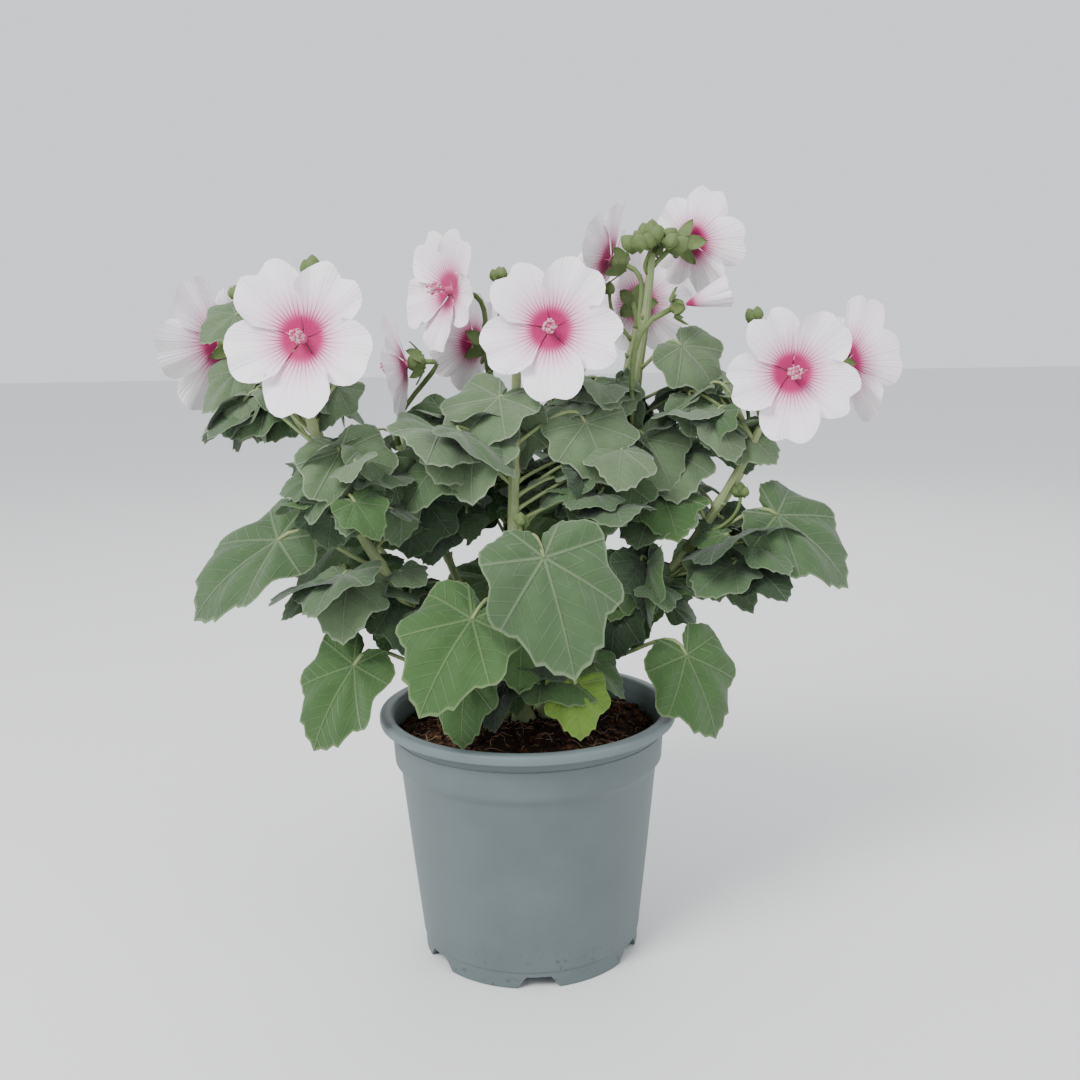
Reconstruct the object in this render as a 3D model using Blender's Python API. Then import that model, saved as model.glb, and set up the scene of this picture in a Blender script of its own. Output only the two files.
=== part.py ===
"""A small tree mallow in full flower in its plastic nursery pot.

Frame: metres, +Z up. The origin is the centre of the pot's underside, and the plant's front looks along -Y.
The sizes below are in millimetres, and MM turns them into metres.
"""

import math

import bmesh
import bpy
from mathutils import Matrix, Vector, noise

MM = 0.001
GAP = 0.3

# The pot
RIM_RADIUS = 65.0
POT_HEIGHT = 108.7
LIP_HEIGHT = 4.3
COLLAR_TOP_RADIUS = 59.9
COLLAR_FOOT_RADIUS = 58.8
COLLAR_FOOT_HEIGHT = 87.5
COLLAR_STEP = 4.2
BODY_TOP_RADIUS = 56.4
FOOT_RADIUS = 47.8
FOOT_RING_WIDTH = 2.4
FLOOR_HEIGHT = 5.6
WALL = 1.5
POT_SIDES = 32
NOTCHES = 6
NOTCH_HEIGHT = 5.2
NOTCH_FOOT_WIDTH = 18.5
NOTCH_TOP_WIDTH = 11.0
NOTCH_TURN = -86.3
NOTCH_INNER_REACH = 8.0
NOTCH_OUTER_REACH = 4.0
DRAIN_RING_RADIUS = 34.0
DRAIN_RADIUS = 4.0
DRAIN_SIDES = 6
DRAIN_CUT = (2.0, 12.0)
# Small steps and roundings of the wall
RIM_CHAMFER = 1.2
RIM_UNDERCUT = 0.7
RIM_LEDGE = 0.2
RIM_ROUND = 2.5
STEP_ROUND = 0.6
FOOT_LINE_HEIGHT = 8.2

# The compost
SOIL_EDGE_HEIGHT = 98.5
SOIL_EDGE_FLARE = 0.4
SOIL_STEP_RISE = 1.2
CROWN_HEIGHT = 103.0
CROWN_RADIUS = 27.0
SHOULDER_RADIUS = 34.0
SHOULDER_DROP = 1.4
SOIL_SIDES = 24

# Stems. Each has its foot on the compost, two handles that bend it, its tip, and its radius at both ends.
STEMS = {
    "trunk": ((-2, -1), (-8, -14, 140), (-4, -36, 200), (-2, -9, 254), 3.1, 1.9),
    "stem_left": ((-11, 2), (-32, -9, 128), (-78, -34, 196), (-87, -24, 249), 2.9, 1.8),
    "stem_right": ((8, 2), (30, 1, 132), (80, 1, 178), (100, -3, 230), 2.9, 1.8),
    "stem_tall": ((6, 11), (26, 13, 150), (51, 24, 220), (56, 14, 303), 3.0, 1.7),
    "stem_mid_left": ((-9, 11), (-22, 17, 140), (-42, 37, 185), (-57, 33, 222), 2.3, 1.4),
    "stem_mid": ((-1, 16), (-9, 26, 150), (-7, 34, 210), (-16, 40, 258), 2.3, 1.4),
    "stem_back_left": ((-9, 20), (-32, 36, 124), (-92, 58, 180), (-100, 54, 245), 2.6, 1.5),
    "stem_back": ((1, 24), (6, 44, 140), (16, 68, 205), (12, 60, 252), 2.6, 1.5),
    "stem_back_right": ((10, 19), (34, 38, 124), (92, 56, 170), (114, 46, 232), 2.6, 1.5),
    "stem_mid_right": ((14, 10), (26, 38, 150), (37, 47, 212), (52, 46, 272), 2.2, 1.3),
}
STEM_STEPS = 10
# The rings stand closer together towards the foot, by this power
STEM_CROWDING = 1.25
THICK_STEM = 2.5
THICK_STEM_SIDES = 7
THIN_STEM_SIDES = 6
TRUNK_FLARE = 1.9
SIDE_FLARE = 1.36
FLARE_HEIGHT = 3.5

# Blooms: the stem that carries each, how far along it, the throat, the way it faces, and its radius.
BLOOMS = {
    "bloom_left": ("stem_left", 1.0, (-84, -37, 270), (-0.12, -1.0, 0.18), 32),
    "bloom_far_left": ("stem_left", 0.93, (-132, 24, 268), (-0.80, 0.55, 0.05), 31),
    "bloom_upper_left": ("stem_mid", 0.97, (-30, 20, 289), (-0.78, -0.60, 0.10), 28),
    "bloom_side_left": ("stem_mid_left", 1.0, (-50, 16, 258), (-0.95, 0.10, -0.12), 24),
    "bloom_front": ("trunk", 1.0, (12, -20, 272), (-0.06, -1.0, 0.16), 30),
    "bloom_upper_back": ("stem_tall", 0.86, (40, 38, 302), (-0.80, 0.38, 0.34), 26),
    "bloom_top_right": ("stem_tall", 0.98, (74, 24, 308), (0.66, 0.72, 0.10), 25),
    "bloom_back_right": ("stem_mid_right", 1.0, (54, 58, 283), (0.30, 0.95, 0.05), 25),
    "bloom_right": ("stem_right", 1.0, (110, -17, 253), (0.02, -1.0, 0.08), 29),
    "bloom_far_right": ("stem_right", 0.93, (138, 6, 256), (0.90, 0.38, 0.02), 28),
    "bloom_mid_back": ("stem_mid", 1.0, (-22, 46, 266), (-0.70, 0.66, 0.10), 24),
    "bloom_back_far_left": ("stem_back_left", 1.0, (-102, 58, 264), (-0.20, 0.96, 0.15), 26),
    "bloom_back": ("stem_back", 1.0, (13, 70, 266), (0.05, 0.97, 0.22), 25),
    "bloom_back_far_right": ("stem_back_right", 1.0, (122, 56, 246), (0.25, 0.95, 0.12), 24),
}
BLOOM_SIDES = 10
BLOOM_STALK_RADIUS = 1.1
BLOOM_STALK_STEPS = 2
PETAL_NOTCH = 0.94
PETAL_THICKNESS = 1.4
PETAL_RIM = 0.97
# How far the petals' rim stands forward of the throat, as a part of the radius
CUP = 0.28
# Behind the throat: where the stalk ends, the calyx's base and radius, and the waist of the cup
CALYX_DEPTH = 9.0
CALYX_BASE = 8.0
CALYX_RADIUS = 5.5
WAIST_DEPTH = 2.5
WAIST_PART = 0.30
# The column of stamens in front of the throat
COLUMN_FOOT = 2.0
COLUMN_FOOT_RADIUS = 2.4
COLUMN_LENGTH = 9.0
COLUMN_TIP_RADIUS = 2.2

# Buds that are about to open, or gathered in a head: stem, place along it, centre and half sizes.
HEADS = {
    "bud_half_open": ("stem_tall", 0.62, (75, 2, 283), (11, 6, 7)),
    "bud_head": ("stem_tall", 1.0, (56, 13, 311), (11, 9, 9)),
}
HEAD_SEED = 2
HEAD_FACING = (1, 0, 0.4)
HEAD_STALK_RADIUS = 1.0
HEAD_STALK_SIDES = 6

# Lone leaves on a stalk: stem, place along it, where stalk and blade meet, the tip, and the upper side's way.
LEAVES = {
    "leaf_front": ("trunk", 0.46, (8, -62, 187), (20, -83, 148), (0.1, -0.85, 0.45), 0.88),
    "leaf_front_left": ("stem_left", 0.10, (-20, -60, 163), (-41, -83, 138), (-0.2, -0.8, 0.5), 0.9),
    "leaf_outer_left": ("stem_left", 0.56, (-103, -14, 187), (-146, -20, 163), (-0.1, -0.6, 0.8), 0.6),
    "leaf_outer_right": ("stem_right", 0.72, (107, -8, 193), (142, -16, 170), (0.2, -0.7, 0.7), 0.66),
    "leaf_low_left": ("stem_left", 0.20, (-72, -24, 135), (-94, -33, 103), (-0.4, -0.8, 0.3), 0.72),
    "leaf_low_right": ("stem_right", 0.26, (67, -24, 137), (83, -32, 104), (0.3, -0.8, 0.3), 0.84),
    "leaf_low_back": ("stem_back", 0.22, (-18, 66, 152), (-30, 83, 120), (-0.1, 0.8, 0.4), 0.9),
    "leaf_back_outer_left": ("stem_back_left", 0.55, (-86, 70, 176), (-116, 78, 152), (-0.4, 0.7, 0.6), 0.7),
    "leaf_back_outer_right": ("stem_back_right", 0.55, (88, 70, 164), (116, 78, 140), (0.4, 0.7, 0.6), 0.7),
    "leaf_soil_left": ("trunk", 0.05, (-24, -40, 134), (-28, -56, 112), (-0.2, -0.7, 0.3), 0.8),
    "leaf_soil_right": ("stem_right", 0.06, (20, -40, 130), (22, -54, 113), (0.1, -0.8, 0.4), 0.8),
}
LEAF_THICKNESS = 1.4
LEAF_DROOP = 0.16
STALK_RADIUS = 0.9
STALK_SIDES = 4
STALK_STEPS = 4
STALK_ARCH = 0.3
# A stalk's bend handles, as a part of its reach
STALK_HANDLE = 0.42
# How far a stalk leans along its stem as it leaves it, as a cosine
STALK_LEAN = 0.6
# Half of a leaf's outline: the angle from its tip, and the reach there as a part of its length.
LEAF_OUTLINE = (
    (0, 1.0),
    (20, 0.84),
    (34, 0.68),
    (54, 0.82),
    (78, 0.60),
    (106, 0.64),
    (134, 0.52),
    (162, 0.34),
    (180, 0.10),
)

# Masses of foliage: centre, half sizes, and the seed of the uneven surface.
MASSES = {
    "foliage_left_top": ((-103, 2, 243), (26, 13, 9), 3),
    "foliage_left": ((-66, -36, 214), (22, 13, 17), 5),
    "foliage_left_low": ((-68, -18, 170), (22, 11, 9), 8),
    "foliage_left_foot": ((-52, -4, 153), (13, 11, 13), 9),
    "foliage_mid_left": ((-42, 8, 199), (22, 19, 19), 12),
    "foliage_upper_left": ((-25, -14, 233), (24, 18, 12), 14),
    "foliage_middle": ((-2, 22, 205), (26, 17, 23), 17),
    "foliage_middle_right": ((33, -8, 212), (25, 16, 21), 20),
    "foliage_upper_middle": ((32, 16, 244), (22, 15, 10), 22),
    "foliage_right_upper": ((76, 3, 240), (21, 14, 18), 25),
    "foliage_right": ((62, 14, 210), (20, 18, 14), 28),
    "foliage_right_low": ((51, -3, 164), (16, 13, 15), 31),
    "foliage_right_tip": ((88, -6, 177), (17, 10, 12), 33),
    "foliage_front_low": ((6, -27, 139), (18, 13, 13), 36),
    "foliage_back_left": ((-68, 62, 211), (24, 20, 22), 39),
    "foliage_back_mid": ((-26, 62, 212), (19, 22, 28), 41),
    "foliage_back": ((15, 66, 208), (22, 20, 28), 44),
    "foliage_back_right": ((58, 60, 208), (25, 21, 22), 47),
    "foliage_back_low": ((32, 54, 152), (22, 17, 16), 50),
}
UNEVEN = 0.34
WAVES = 1.7
# Each seed reads another place in the noise
NOISE_STRIDE = (3.1, 1.7, 0.9)
# Room left round a neighbour that a solid is cut back from
CUT_ROOM = 1.4 * GAP
SHARP_ANGLE = 40.0

# Colours, as linear values
POT_COLOUR = (0.15, 0.20, 0.20, 1)
SOIL_COLOUR = (0.045, 0.024, 0.014, 1)
STEM_COLOUR = (0.20, 0.27, 0.12, 1)
LEAF_COLOUR = (0.11, 0.20, 0.09, 1)
PETAL_COLOUR = (0.88, 0.78, 0.84, 1)
BUD_COLOUR = (0.22, 0.27, 0.09, 1)


def clear_scene():
    for obj in list(bpy.data.objects):
        bpy.data.objects.remove(obj)


def finish(name, colour, roughness):
    """A plain Principled material."""
    material = bpy.data.materials.new(name)
    material.use_nodes = True
    shader = material.node_tree.nodes["Principled BSDF"]
    shader.inputs["Base Color"].default_value = colour
    shader.inputs["Roughness"].default_value = roughness
    shader.inputs["Metallic"].default_value = 0.0
    return material


def place(name, bm, material):
    """Turns a bmesh in millimetres into an object in metres."""
    bmesh.ops.recalc_face_normals(bm, faces=bm.faces)
    bmesh.ops.triangulate(bm, faces=bm.faces)
    bmesh.ops.transform(bm, matrix=Matrix.Scale(MM, 4), verts=bm.verts)
    mesh = bpy.data.meshes.new(name)
    bm.to_mesh(mesh)
    bm.free()
    mesh.materials.append(material)
    obj = bpy.data.objects.new(name, mesh)
    bpy.context.scene.collection.objects.link(obj)
    return obj


def turned(profile, sides):
    """A bmesh of a closed profile of (radius, height), from axis to axis, turned about Z."""
    bm = bmesh.new()
    verts = [bm.verts.new((r, 0, z)) for r, z in profile]
    edges = [bm.edges.new(pair) for pair in zip(verts, verts[1:])]
    bmesh.ops.spin(
        bm, geom=verts + edges, cent=(0, 0, 0), axis=(0, 0, 1), angle=math.tau, steps=sides, use_merge=True
    )
    bmesh.ops.remove_doubles(bm, verts=bm.verts, dist=0.001)
    return bm


def loft(rings):
    """A closed tube through rings of points, each ring as long as the next."""
    bm = bmesh.new()
    rows = [[bm.verts.new(point) for point in ring] for ring in rings]
    sides = len(rows[0])
    for lower, upper in zip(rows, rows[1:]):
        for i in range(sides):
            j = (i + 1) % sides
            bm.faces.new((lower[i], lower[j], upper[j], upper[i]))
    bm.faces.new(rows[0][::-1])
    bm.faces.new(rows[-1])
    return bm


def is_closed(mesh):
    """Whether a mesh has faces, and every edge joins two of them."""
    uses = {}
    for face in mesh.polygons:
        for key in face.edge_keys:
            uses[key] = uses.get(key, 0) + 1
    return bool(uses) and all(count == 2 for count in uses.values())


def boolean(obj, cutter, operation):
    """Applies one Boolean to the object's own mesh. Where EXACT leaves it open, MANIFOLD takes its place."""
    modifier = obj.modifiers.new(operation.title(), "BOOLEAN")
    modifier.operation = operation
    modifier.object = cutter
    for solver in ("EXACT", "MANIFOLD"):
        modifier.solver = solver
        graph = bpy.context.evaluated_depsgraph_get()
        mesh = bpy.data.meshes.new_from_object(obj.evaluated_get(graph))
        if is_closed(mesh):
            break
    obj.modifiers.clear()
    obj.data = mesh


def drop(obj):
    bpy.data.objects.remove(obj)


def inflated(obj, amount):
    """A cutter: a copy of the object, grown outwards by amount in millimetres."""
    copy = obj.copy()
    copy.data = obj.data.copy()
    bpy.context.scene.collection.objects.link(copy)
    bm = bmesh.new()
    bm.from_mesh(copy.data)
    bm.normal_update()
    shifts = [vert.normal * amount * MM for vert in bm.verts]
    for vert, shift in zip(bm.verts, shifts):
        vert.co += shift
    bm.to_mesh(copy.data)
    bm.free()
    return copy


def box_of(obj):
    points = [vert.co for vert in obj.data.vertices]
    return [(min(p[k] for p in points), max(p[k] for p in points)) for k in range(3)]


def boxes_meet(one, two):
    margin = GAP * MM
    return all(a[0] < b[1] + margin and b[0] < a[1] + margin for a, b in zip(box_of(one), box_of(two)))


def keep_largest(obj):
    """Leaves the largest body of a mesh that a cut has split."""
    bm = bmesh.new()
    bm.from_mesh(obj.data)
    left = set(bm.verts)
    groups = []
    while left:
        group = set()
        todo = [left.pop()]
        while todo:
            vert = todo.pop()
            group.add(vert)
            for edge in vert.link_edges:
                other = edge.other_vert(vert)
                if other in left:
                    left.discard(other)
                    todo.append(other)
        groups.append(group)
    groups.sort(key=len, reverse=True)
    for group in groups[1:]:
        bmesh.ops.delete(bm, geom=list(group), context="VERTS")
    bmesh.ops.triangulate(bm, faces=bm.faces)
    bm.to_mesh(obj.data)
    bm.free()


def cut_round(obj, others):
    """Cuts the object back from each neighbour whose box it meets."""
    touched = False
    for other in others:
        if boxes_meet(obj, other):
            cutter = inflated(other, CUT_ROOM)
            boolean(obj, cutter, "DIFFERENCE")
            drop(cutter)
            touched = True
    if touched:
        keep_largest(obj)


def stem_at(name, t):
    """Centre, direction and radius of a stem, from its foot at 0 to its tip at 1."""
    foot, low, high, tip, foot_radius, tip_radius = STEMS[name]
    a = Vector((foot[0], foot[1], CROWN_HEIGHT + GAP))
    b, c, d = Vector(low), Vector(high), Vector(tip)
    s = 1 - t
    centre = a * s**3 + b * 3 * s * s * t + c * 3 * s * t * t + d * t**3
    way = ((b - a) * s * s + (c - b) * 2 * s * t + (d - c) * t * t).normalized()
    return centre, way, foot_radius + (tip_radius - foot_radius) * t


def ring_at(centre, way, radii):
    """Points round a centre, square to a direction."""
    turn = Vector(way).to_track_quat("Z", "Y")
    count = len(radii)
    ring = []
    for i, radius in enumerate(radii):
        angle = math.tau * i / count
        ring.append(Vector(centre) + turn @ Vector((radius * math.cos(angle), radius * math.sin(angle), 0)))
    return ring


def stem(name, material):
    """One tapering limb with a flare at its foot, cut flat on the compost."""
    rings = []
    sides = THICK_STEM_SIDES if STEMS[name][4] > THICK_STEM else THIN_STEM_SIDES
    flare = TRUNK_FLARE if name == "trunk" else SIDE_FLARE
    for i in range(STEM_STEPS + 1):
        t = (i / STEM_STEPS) ** STEM_CROWDING
        centre, way, radius = stem_at(name, t)
        rise = centre.z - CROWN_HEIGHT - GAP
        radius *= 1.0 + (flare - 1.0) * math.exp(-rise / FLARE_HEIGHT)
        if i == 0:
            way = Vector((0, 0, 1))
        rings.append(ring_at(centre, way, [radius] * sides))
    return place(name, loft(rings), material)


def stalk_start(name, t, target, radius):
    """Where a stalk leaves a stem for a target: a point, a direction, with the gap to the stem's skin."""
    centre, way, stem_radius = stem_at(name, t)
    if t == 1:
        return centre + way * GAP, way
    out = Vector(target) - centre
    square = (out - way * out.dot(way)).normalized()
    start = centre + square * (stem_radius + GAP + radius * STALK_LEAN)
    return start, (square * (1 - STALK_LEAN**2) ** 0.5 + way * STALK_LEAN).normalized()


def stalk_rings(name, t, target, arrival, radius, sides, steps):
    """Rings along a bent stalk from a stem to a target, which it reaches along arrival."""
    start, way = stalk_start(name, t, target, radius)
    reach = (Vector(target) - start).length * STALK_HANDLE
    b = start + way * reach
    c = Vector(target) - Vector(arrival).normalized() * reach
    rings = []
    for i in range(steps):
        s, u = 1 - i / steps, i / steps
        point = start * s**3 + b * 3 * s * s * u + c * 3 * s * u * u + Vector(target) * u**3
        heading = ((b - start) * s * s + (c - b) * 2 * s * u + (Vector(target) - c) * u * u).normalized()
        rings.append(ring_at(point, heading, [radius] * sides))
    return rings


def bloom(name, material):
    """One flower: stalk, calyx and a shallow cup of five petals."""
    carrier, t, throat, facing, radius = BLOOMS[name]
    facing = Vector(facing).normalized()
    throat = Vector(throat)
    petals = [radius if i % 2 else radius * PETAL_NOTCH for i in range(BLOOM_SIDES)]
    calyx = throat - facing * CALYX_DEPTH
    rings = stalk_rings(carrier, t, calyx, facing, BLOOM_STALK_RADIUS, BLOOM_SIDES, BLOOM_STALK_STEPS)

    def petal_ring(part, depth):
        return ring_at(throat + facing * depth, facing, [r * part for r in petals])

    rings.append(petal_ring(CALYX_RADIUS / radius, -CALYX_BASE))
    rings.append(petal_ring(WAIST_PART, -WAIST_DEPTH))
    rings.append(petal_ring(1.0, radius * CUP))
    rings.append(petal_ring(PETAL_RIM, radius * CUP + PETAL_THICKNESS))
    rings.append(petal_ring(COLUMN_FOOT_RADIUS / radius, COLUMN_FOOT))
    rings.append(petal_ring(COLUMN_TIP_RADIUS / radius, COLUMN_LENGTH))
    return place(name, loft(rings), material)


def bump(point, seed):
    return noise.noise(Vector(point) * WAVES + Vector(NOISE_STRIDE) * seed)


def mass(name, centre, half, seed, material):
    """One closed, uneven solid of foliage."""
    bm = bmesh.new()
    bmesh.ops.create_icosphere(bm, subdivisions=2, radius=1)
    for vert in bm.verts:
        swell = 1 + UNEVEN * bump(vert.co, seed)
        vert.co = Vector(centre) + Vector(h * c * swell for h, c in zip(half, vert.co))
    return place(name, bm, material)


def head(name, material):
    """A bud or a head of buds, with its stalk where it isn't on the stem's tip."""
    carrier, t, centre, half = HEADS[name]
    solid = mass(name, centre, half, HEAD_SEED, material)
    if t < 1:
        radii = [HEAD_STALK_RADIUS] * HEAD_STALK_SIDES
        rings = stalk_rings(carrier, t, centre, HEAD_FACING, HEAD_STALK_RADIUS, len(radii), STALK_STEPS)
        rings.append(ring_at(centre, HEAD_FACING, radii))
        union(solid, place(name + "_stalk", loft(rings), material))
    return solid


def union(solid, other):
    boolean(solid, other, "UNION")
    drop(other)
    keep_largest(solid)


def blade(junction, tip, upper, breadth):
    """A thin drooping leaf blade with five lobes, as a bmesh."""
    along = Vector(tip) - Vector(junction)
    length = along.length
    along.normalize()
    upper = Vector(upper)
    upper = (upper - along * upper.dot(along)).normalized()
    across = upper.cross(along)
    half = LEAF_OUTLINE[1:-1]
    outline = list(LEAF_OUTLINE) + [(360 - angle, reach) for angle, reach in reversed(half)]
    bm = bmesh.new()
    layers = []
    for shift in (LEAF_THICKNESS / 2, -LEAF_THICKNESS / 2):
        middle = bm.verts.new(Vector(junction) + upper * shift)
        edge = []
        for angle, reach in outline:
            x = math.cos(math.radians(angle)) * reach * length
            y = math.sin(math.radians(angle)) * reach * length * breadth
            droop = -LEAF_DROOP * y * y / length
            edge.append(bm.verts.new(Vector(junction) + along * x + across * y + upper * (shift + droop)))
        layers.append((middle, edge))
    (top, top_edge), (under, under_edge) = layers
    for i in range(len(outline)):
        j = (i + 1) % len(outline)
        bm.faces.new((top, top_edge[i], top_edge[j]))
        bm.faces.new((under, under_edge[j], under_edge[i]))
        bm.faces.new((top_edge[i], under_edge[i], under_edge[j], top_edge[j]))
    return bm


def leaf(name, material):
    """A leaf on its stalk, as one solid."""
    carrier, t, junction, tip, upper, breadth = LEAVES[name]
    solid = place(name, blade(junction, tip, upper, breadth), material)
    arrival = Vector(tip) - Vector(junction)
    arrival = arrival.normalized() - Vector(upper).normalized() * STALK_ARCH
    rings = stalk_rings(carrier, t, junction, arrival, STALK_RADIUS, STALK_SIDES, STALK_STEPS)
    rings.append(ring_at(Vector(junction), arrival, [STALK_RADIUS] * STALK_SIDES))
    union(solid, place(name + "_stalk", loft(rings), material))
    return solid


def pot(material):
    """Turned wall with lip, collar and foot ring, then notches and drain holes cut out."""
    lip_foot = POT_HEIGHT - LIP_HEIGHT
    floor_top = FLOOR_HEIGHT + WALL
    chamfer_foot = COLLAR_FOOT_HEIGHT - COLLAR_STEP
    outer = [
        (0, FLOOR_HEIGHT),
        (FOOT_RADIUS - FOOT_RING_WIDTH, FLOOR_HEIGHT),
        (FOOT_RADIUS - FOOT_RING_WIDTH, 0),
        (FOOT_RADIUS, 0),
        (FOOT_RADIUS + STEP_ROUND, FOOT_LINE_HEIGHT),
        (BODY_TOP_RADIUS, chamfer_foot),
        (COLLAR_FOOT_RADIUS, COLLAR_FOOT_HEIGHT),
        (COLLAR_TOP_RADIUS, lip_foot),
        (RIM_RADIUS - RIM_UNDERCUT, lip_foot),
        (RIM_RADIUS, lip_foot + RIM_CHAMFER),
        (RIM_RADIUS, POT_HEIGHT - RIM_CHAMFER),
        (RIM_RADIUS - RIM_CHAMFER, POT_HEIGHT),
    ]
    inner = [
        (COLLAR_TOP_RADIUS + RIM_LEDGE, POT_HEIGHT),
        (COLLAR_TOP_RADIUS - WALL, POT_HEIGHT - RIM_ROUND),
        (COLLAR_FOOT_RADIUS - WALL, COLLAR_FOOT_HEIGHT + STEP_ROUND),
        (BODY_TOP_RADIUS - WALL, chamfer_foot + STEP_ROUND),
        (FOOT_RADIUS - WALL, floor_top),
        (0, floor_top),
    ]
    shell = place("pot", turned(outer + inner, POT_SIDES), material)
    for i in range(NOTCHES):
        turn = Matrix.Rotation(math.radians(NOTCH_TURN + 360 * i / NOTCHES), 4, "Z")
        for cutter in (notch_cutter(turn, material), drain_cutter(turn, material)):
            boolean(shell, cutter, "DIFFERENCE")
            drop(cutter)
    keep_largest(shell)
    return shell


def notch_cutter(turn, material):
    """A wedge with sloping sides, through the foot ring."""
    corners = [
        (-NOTCH_FOOT_WIDTH / 2, 0),
        (NOTCH_FOOT_WIDTH / 2, 0),
        (NOTCH_TOP_WIDTH / 2, NOTCH_HEIGHT),
        (-NOTCH_TOP_WIDTH / 2, NOTCH_HEIGHT),
    ]
    slope = (NOTCH_FOOT_WIDTH - NOTCH_TOP_WIDTH) / 2 / NOTCH_HEIGHT
    corners[0] = (corners[0][0] - slope, -1)
    corners[1] = (corners[1][0] + slope, -1)
    ends = (FOOT_RADIUS - NOTCH_INNER_REACH, FOOT_RADIUS + NOTCH_OUTER_REACH)
    rings = [[turn @ Vector((x, y, z)) for y, z in corners] for x in ends]
    return place("notch_cutter", loft(rings), material)


def drain_cutter(turn, material):
    centre = turn @ Vector((DRAIN_RING_RADIUS, 0, 0))
    radii = [DRAIN_RADIUS] * DRAIN_SIDES
    rings = [ring_at(centre + Vector((0, 0, z)), (0, 0, 1), radii) for z in DRAIN_CUT]
    return place("drain_cutter", loft(rings), material)


def soil(material):
    """The compost: it fills the pot to a centimetre under the rim and rises a little to the plant's foot."""
    foot = FLOOR_HEIGHT + WALL + GAP
    chamfer_foot = COLLAR_FOOT_HEIGHT - COLLAR_STEP
    clear = WALL + 2 * GAP
    profile = [
        (0, foot),
        (FOOT_RADIUS - clear, foot),
        (BODY_TOP_RADIUS - clear, chamfer_foot),
        (COLLAR_FOOT_RADIUS - clear, COLLAR_FOOT_HEIGHT + SOIL_STEP_RISE),
        (COLLAR_FOOT_RADIUS - clear + SOIL_EDGE_FLARE, SOIL_EDGE_HEIGHT),
        (SHOULDER_RADIUS, CROWN_HEIGHT - SHOULDER_DROP),
        (CROWN_RADIUS, CROWN_HEIGHT),
        (0, CROWN_HEIGHT),
    ]
    return place("soil", turned(profile, SOIL_SIDES), material)


def main():
    clear_scene()
    pot_finish = finish("pot_plastic", POT_COLOUR, 0.45)
    soil_finish = finish("compost", SOIL_COLOUR, 0.95)
    stem_finish = finish("green_stem", STEM_COLOUR, 0.7)
    leaf_finish = finish("felted_leaf", LEAF_COLOUR, 0.75)
    petal_finish = finish("petal", PETAL_COLOUR, 0.6)
    bud_finish = finish("bud", BUD_COLOUR, 0.7)
    solids = [pot(pot_finish), soil(soil_finish)]
    solids += [stem(name, stem_finish) for name in STEMS]
    groups = (
        [(name, bloom, petal_finish) for name in BLOOMS]
        + [(name, head, bud_finish) for name in HEADS]
        + [(name, leaf, leaf_finish) for name in LEAVES]
    )
    for name, maker, material in groups:
        solid = maker(name, material)
        cut_round(solid, solids)
        solids.append(solid)
    for name, (centre, half, seed) in MASSES.items():
        solid = mass(name, centre, half, seed, leaf_finish)
        cut_round(solid, solids)
        solids.append(solid)
    for solid in solids:
        solid.data.shade_smooth()
        solid.data.set_sharp_from_angle(angle=math.radians(SHARP_ANGLE))


main()
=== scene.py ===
"""The looks of a potted tree mallow: pot, compost, stems, leaves, buds and blooms round the fixed frame."""

import math
import random

import bmesh
import bpy
from mathutils import Matrix, Quaternion, Vector, noise


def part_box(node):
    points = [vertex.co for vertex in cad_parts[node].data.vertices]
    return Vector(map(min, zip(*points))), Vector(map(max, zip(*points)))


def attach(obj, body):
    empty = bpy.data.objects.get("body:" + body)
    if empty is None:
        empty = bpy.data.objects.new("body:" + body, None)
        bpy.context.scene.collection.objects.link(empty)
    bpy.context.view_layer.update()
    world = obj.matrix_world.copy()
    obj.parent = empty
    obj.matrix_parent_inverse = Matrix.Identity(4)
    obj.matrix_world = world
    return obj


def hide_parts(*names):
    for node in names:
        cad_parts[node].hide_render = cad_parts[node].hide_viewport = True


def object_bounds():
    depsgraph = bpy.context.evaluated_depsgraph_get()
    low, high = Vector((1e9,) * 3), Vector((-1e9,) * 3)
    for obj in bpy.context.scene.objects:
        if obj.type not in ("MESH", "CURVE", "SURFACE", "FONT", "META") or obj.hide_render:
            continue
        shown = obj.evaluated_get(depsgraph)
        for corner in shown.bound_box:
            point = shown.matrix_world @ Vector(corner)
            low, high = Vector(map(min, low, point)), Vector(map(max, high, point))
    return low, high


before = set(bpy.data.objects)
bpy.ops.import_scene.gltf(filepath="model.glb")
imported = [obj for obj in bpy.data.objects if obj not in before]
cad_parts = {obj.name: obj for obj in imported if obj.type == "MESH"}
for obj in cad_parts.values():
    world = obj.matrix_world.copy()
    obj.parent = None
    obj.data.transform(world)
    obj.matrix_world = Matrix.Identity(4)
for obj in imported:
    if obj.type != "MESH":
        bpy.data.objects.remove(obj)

CAD_LOW, CAD_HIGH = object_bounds()

bl_info = {
    "name": "Potted tree mallow",
    "version": (1, 0, 0),
    "blender": (4, 5, 0),
    "location": "3D View > Sidebar > Mallow",
    "description": "Dresses the frame of a potted tree mallow with leaves, blooms and finishes",
    "category": "Object",
}

MM = 0.001
SEAM = 0.0004
MAP = "OFBake"
RING = "ring"

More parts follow.
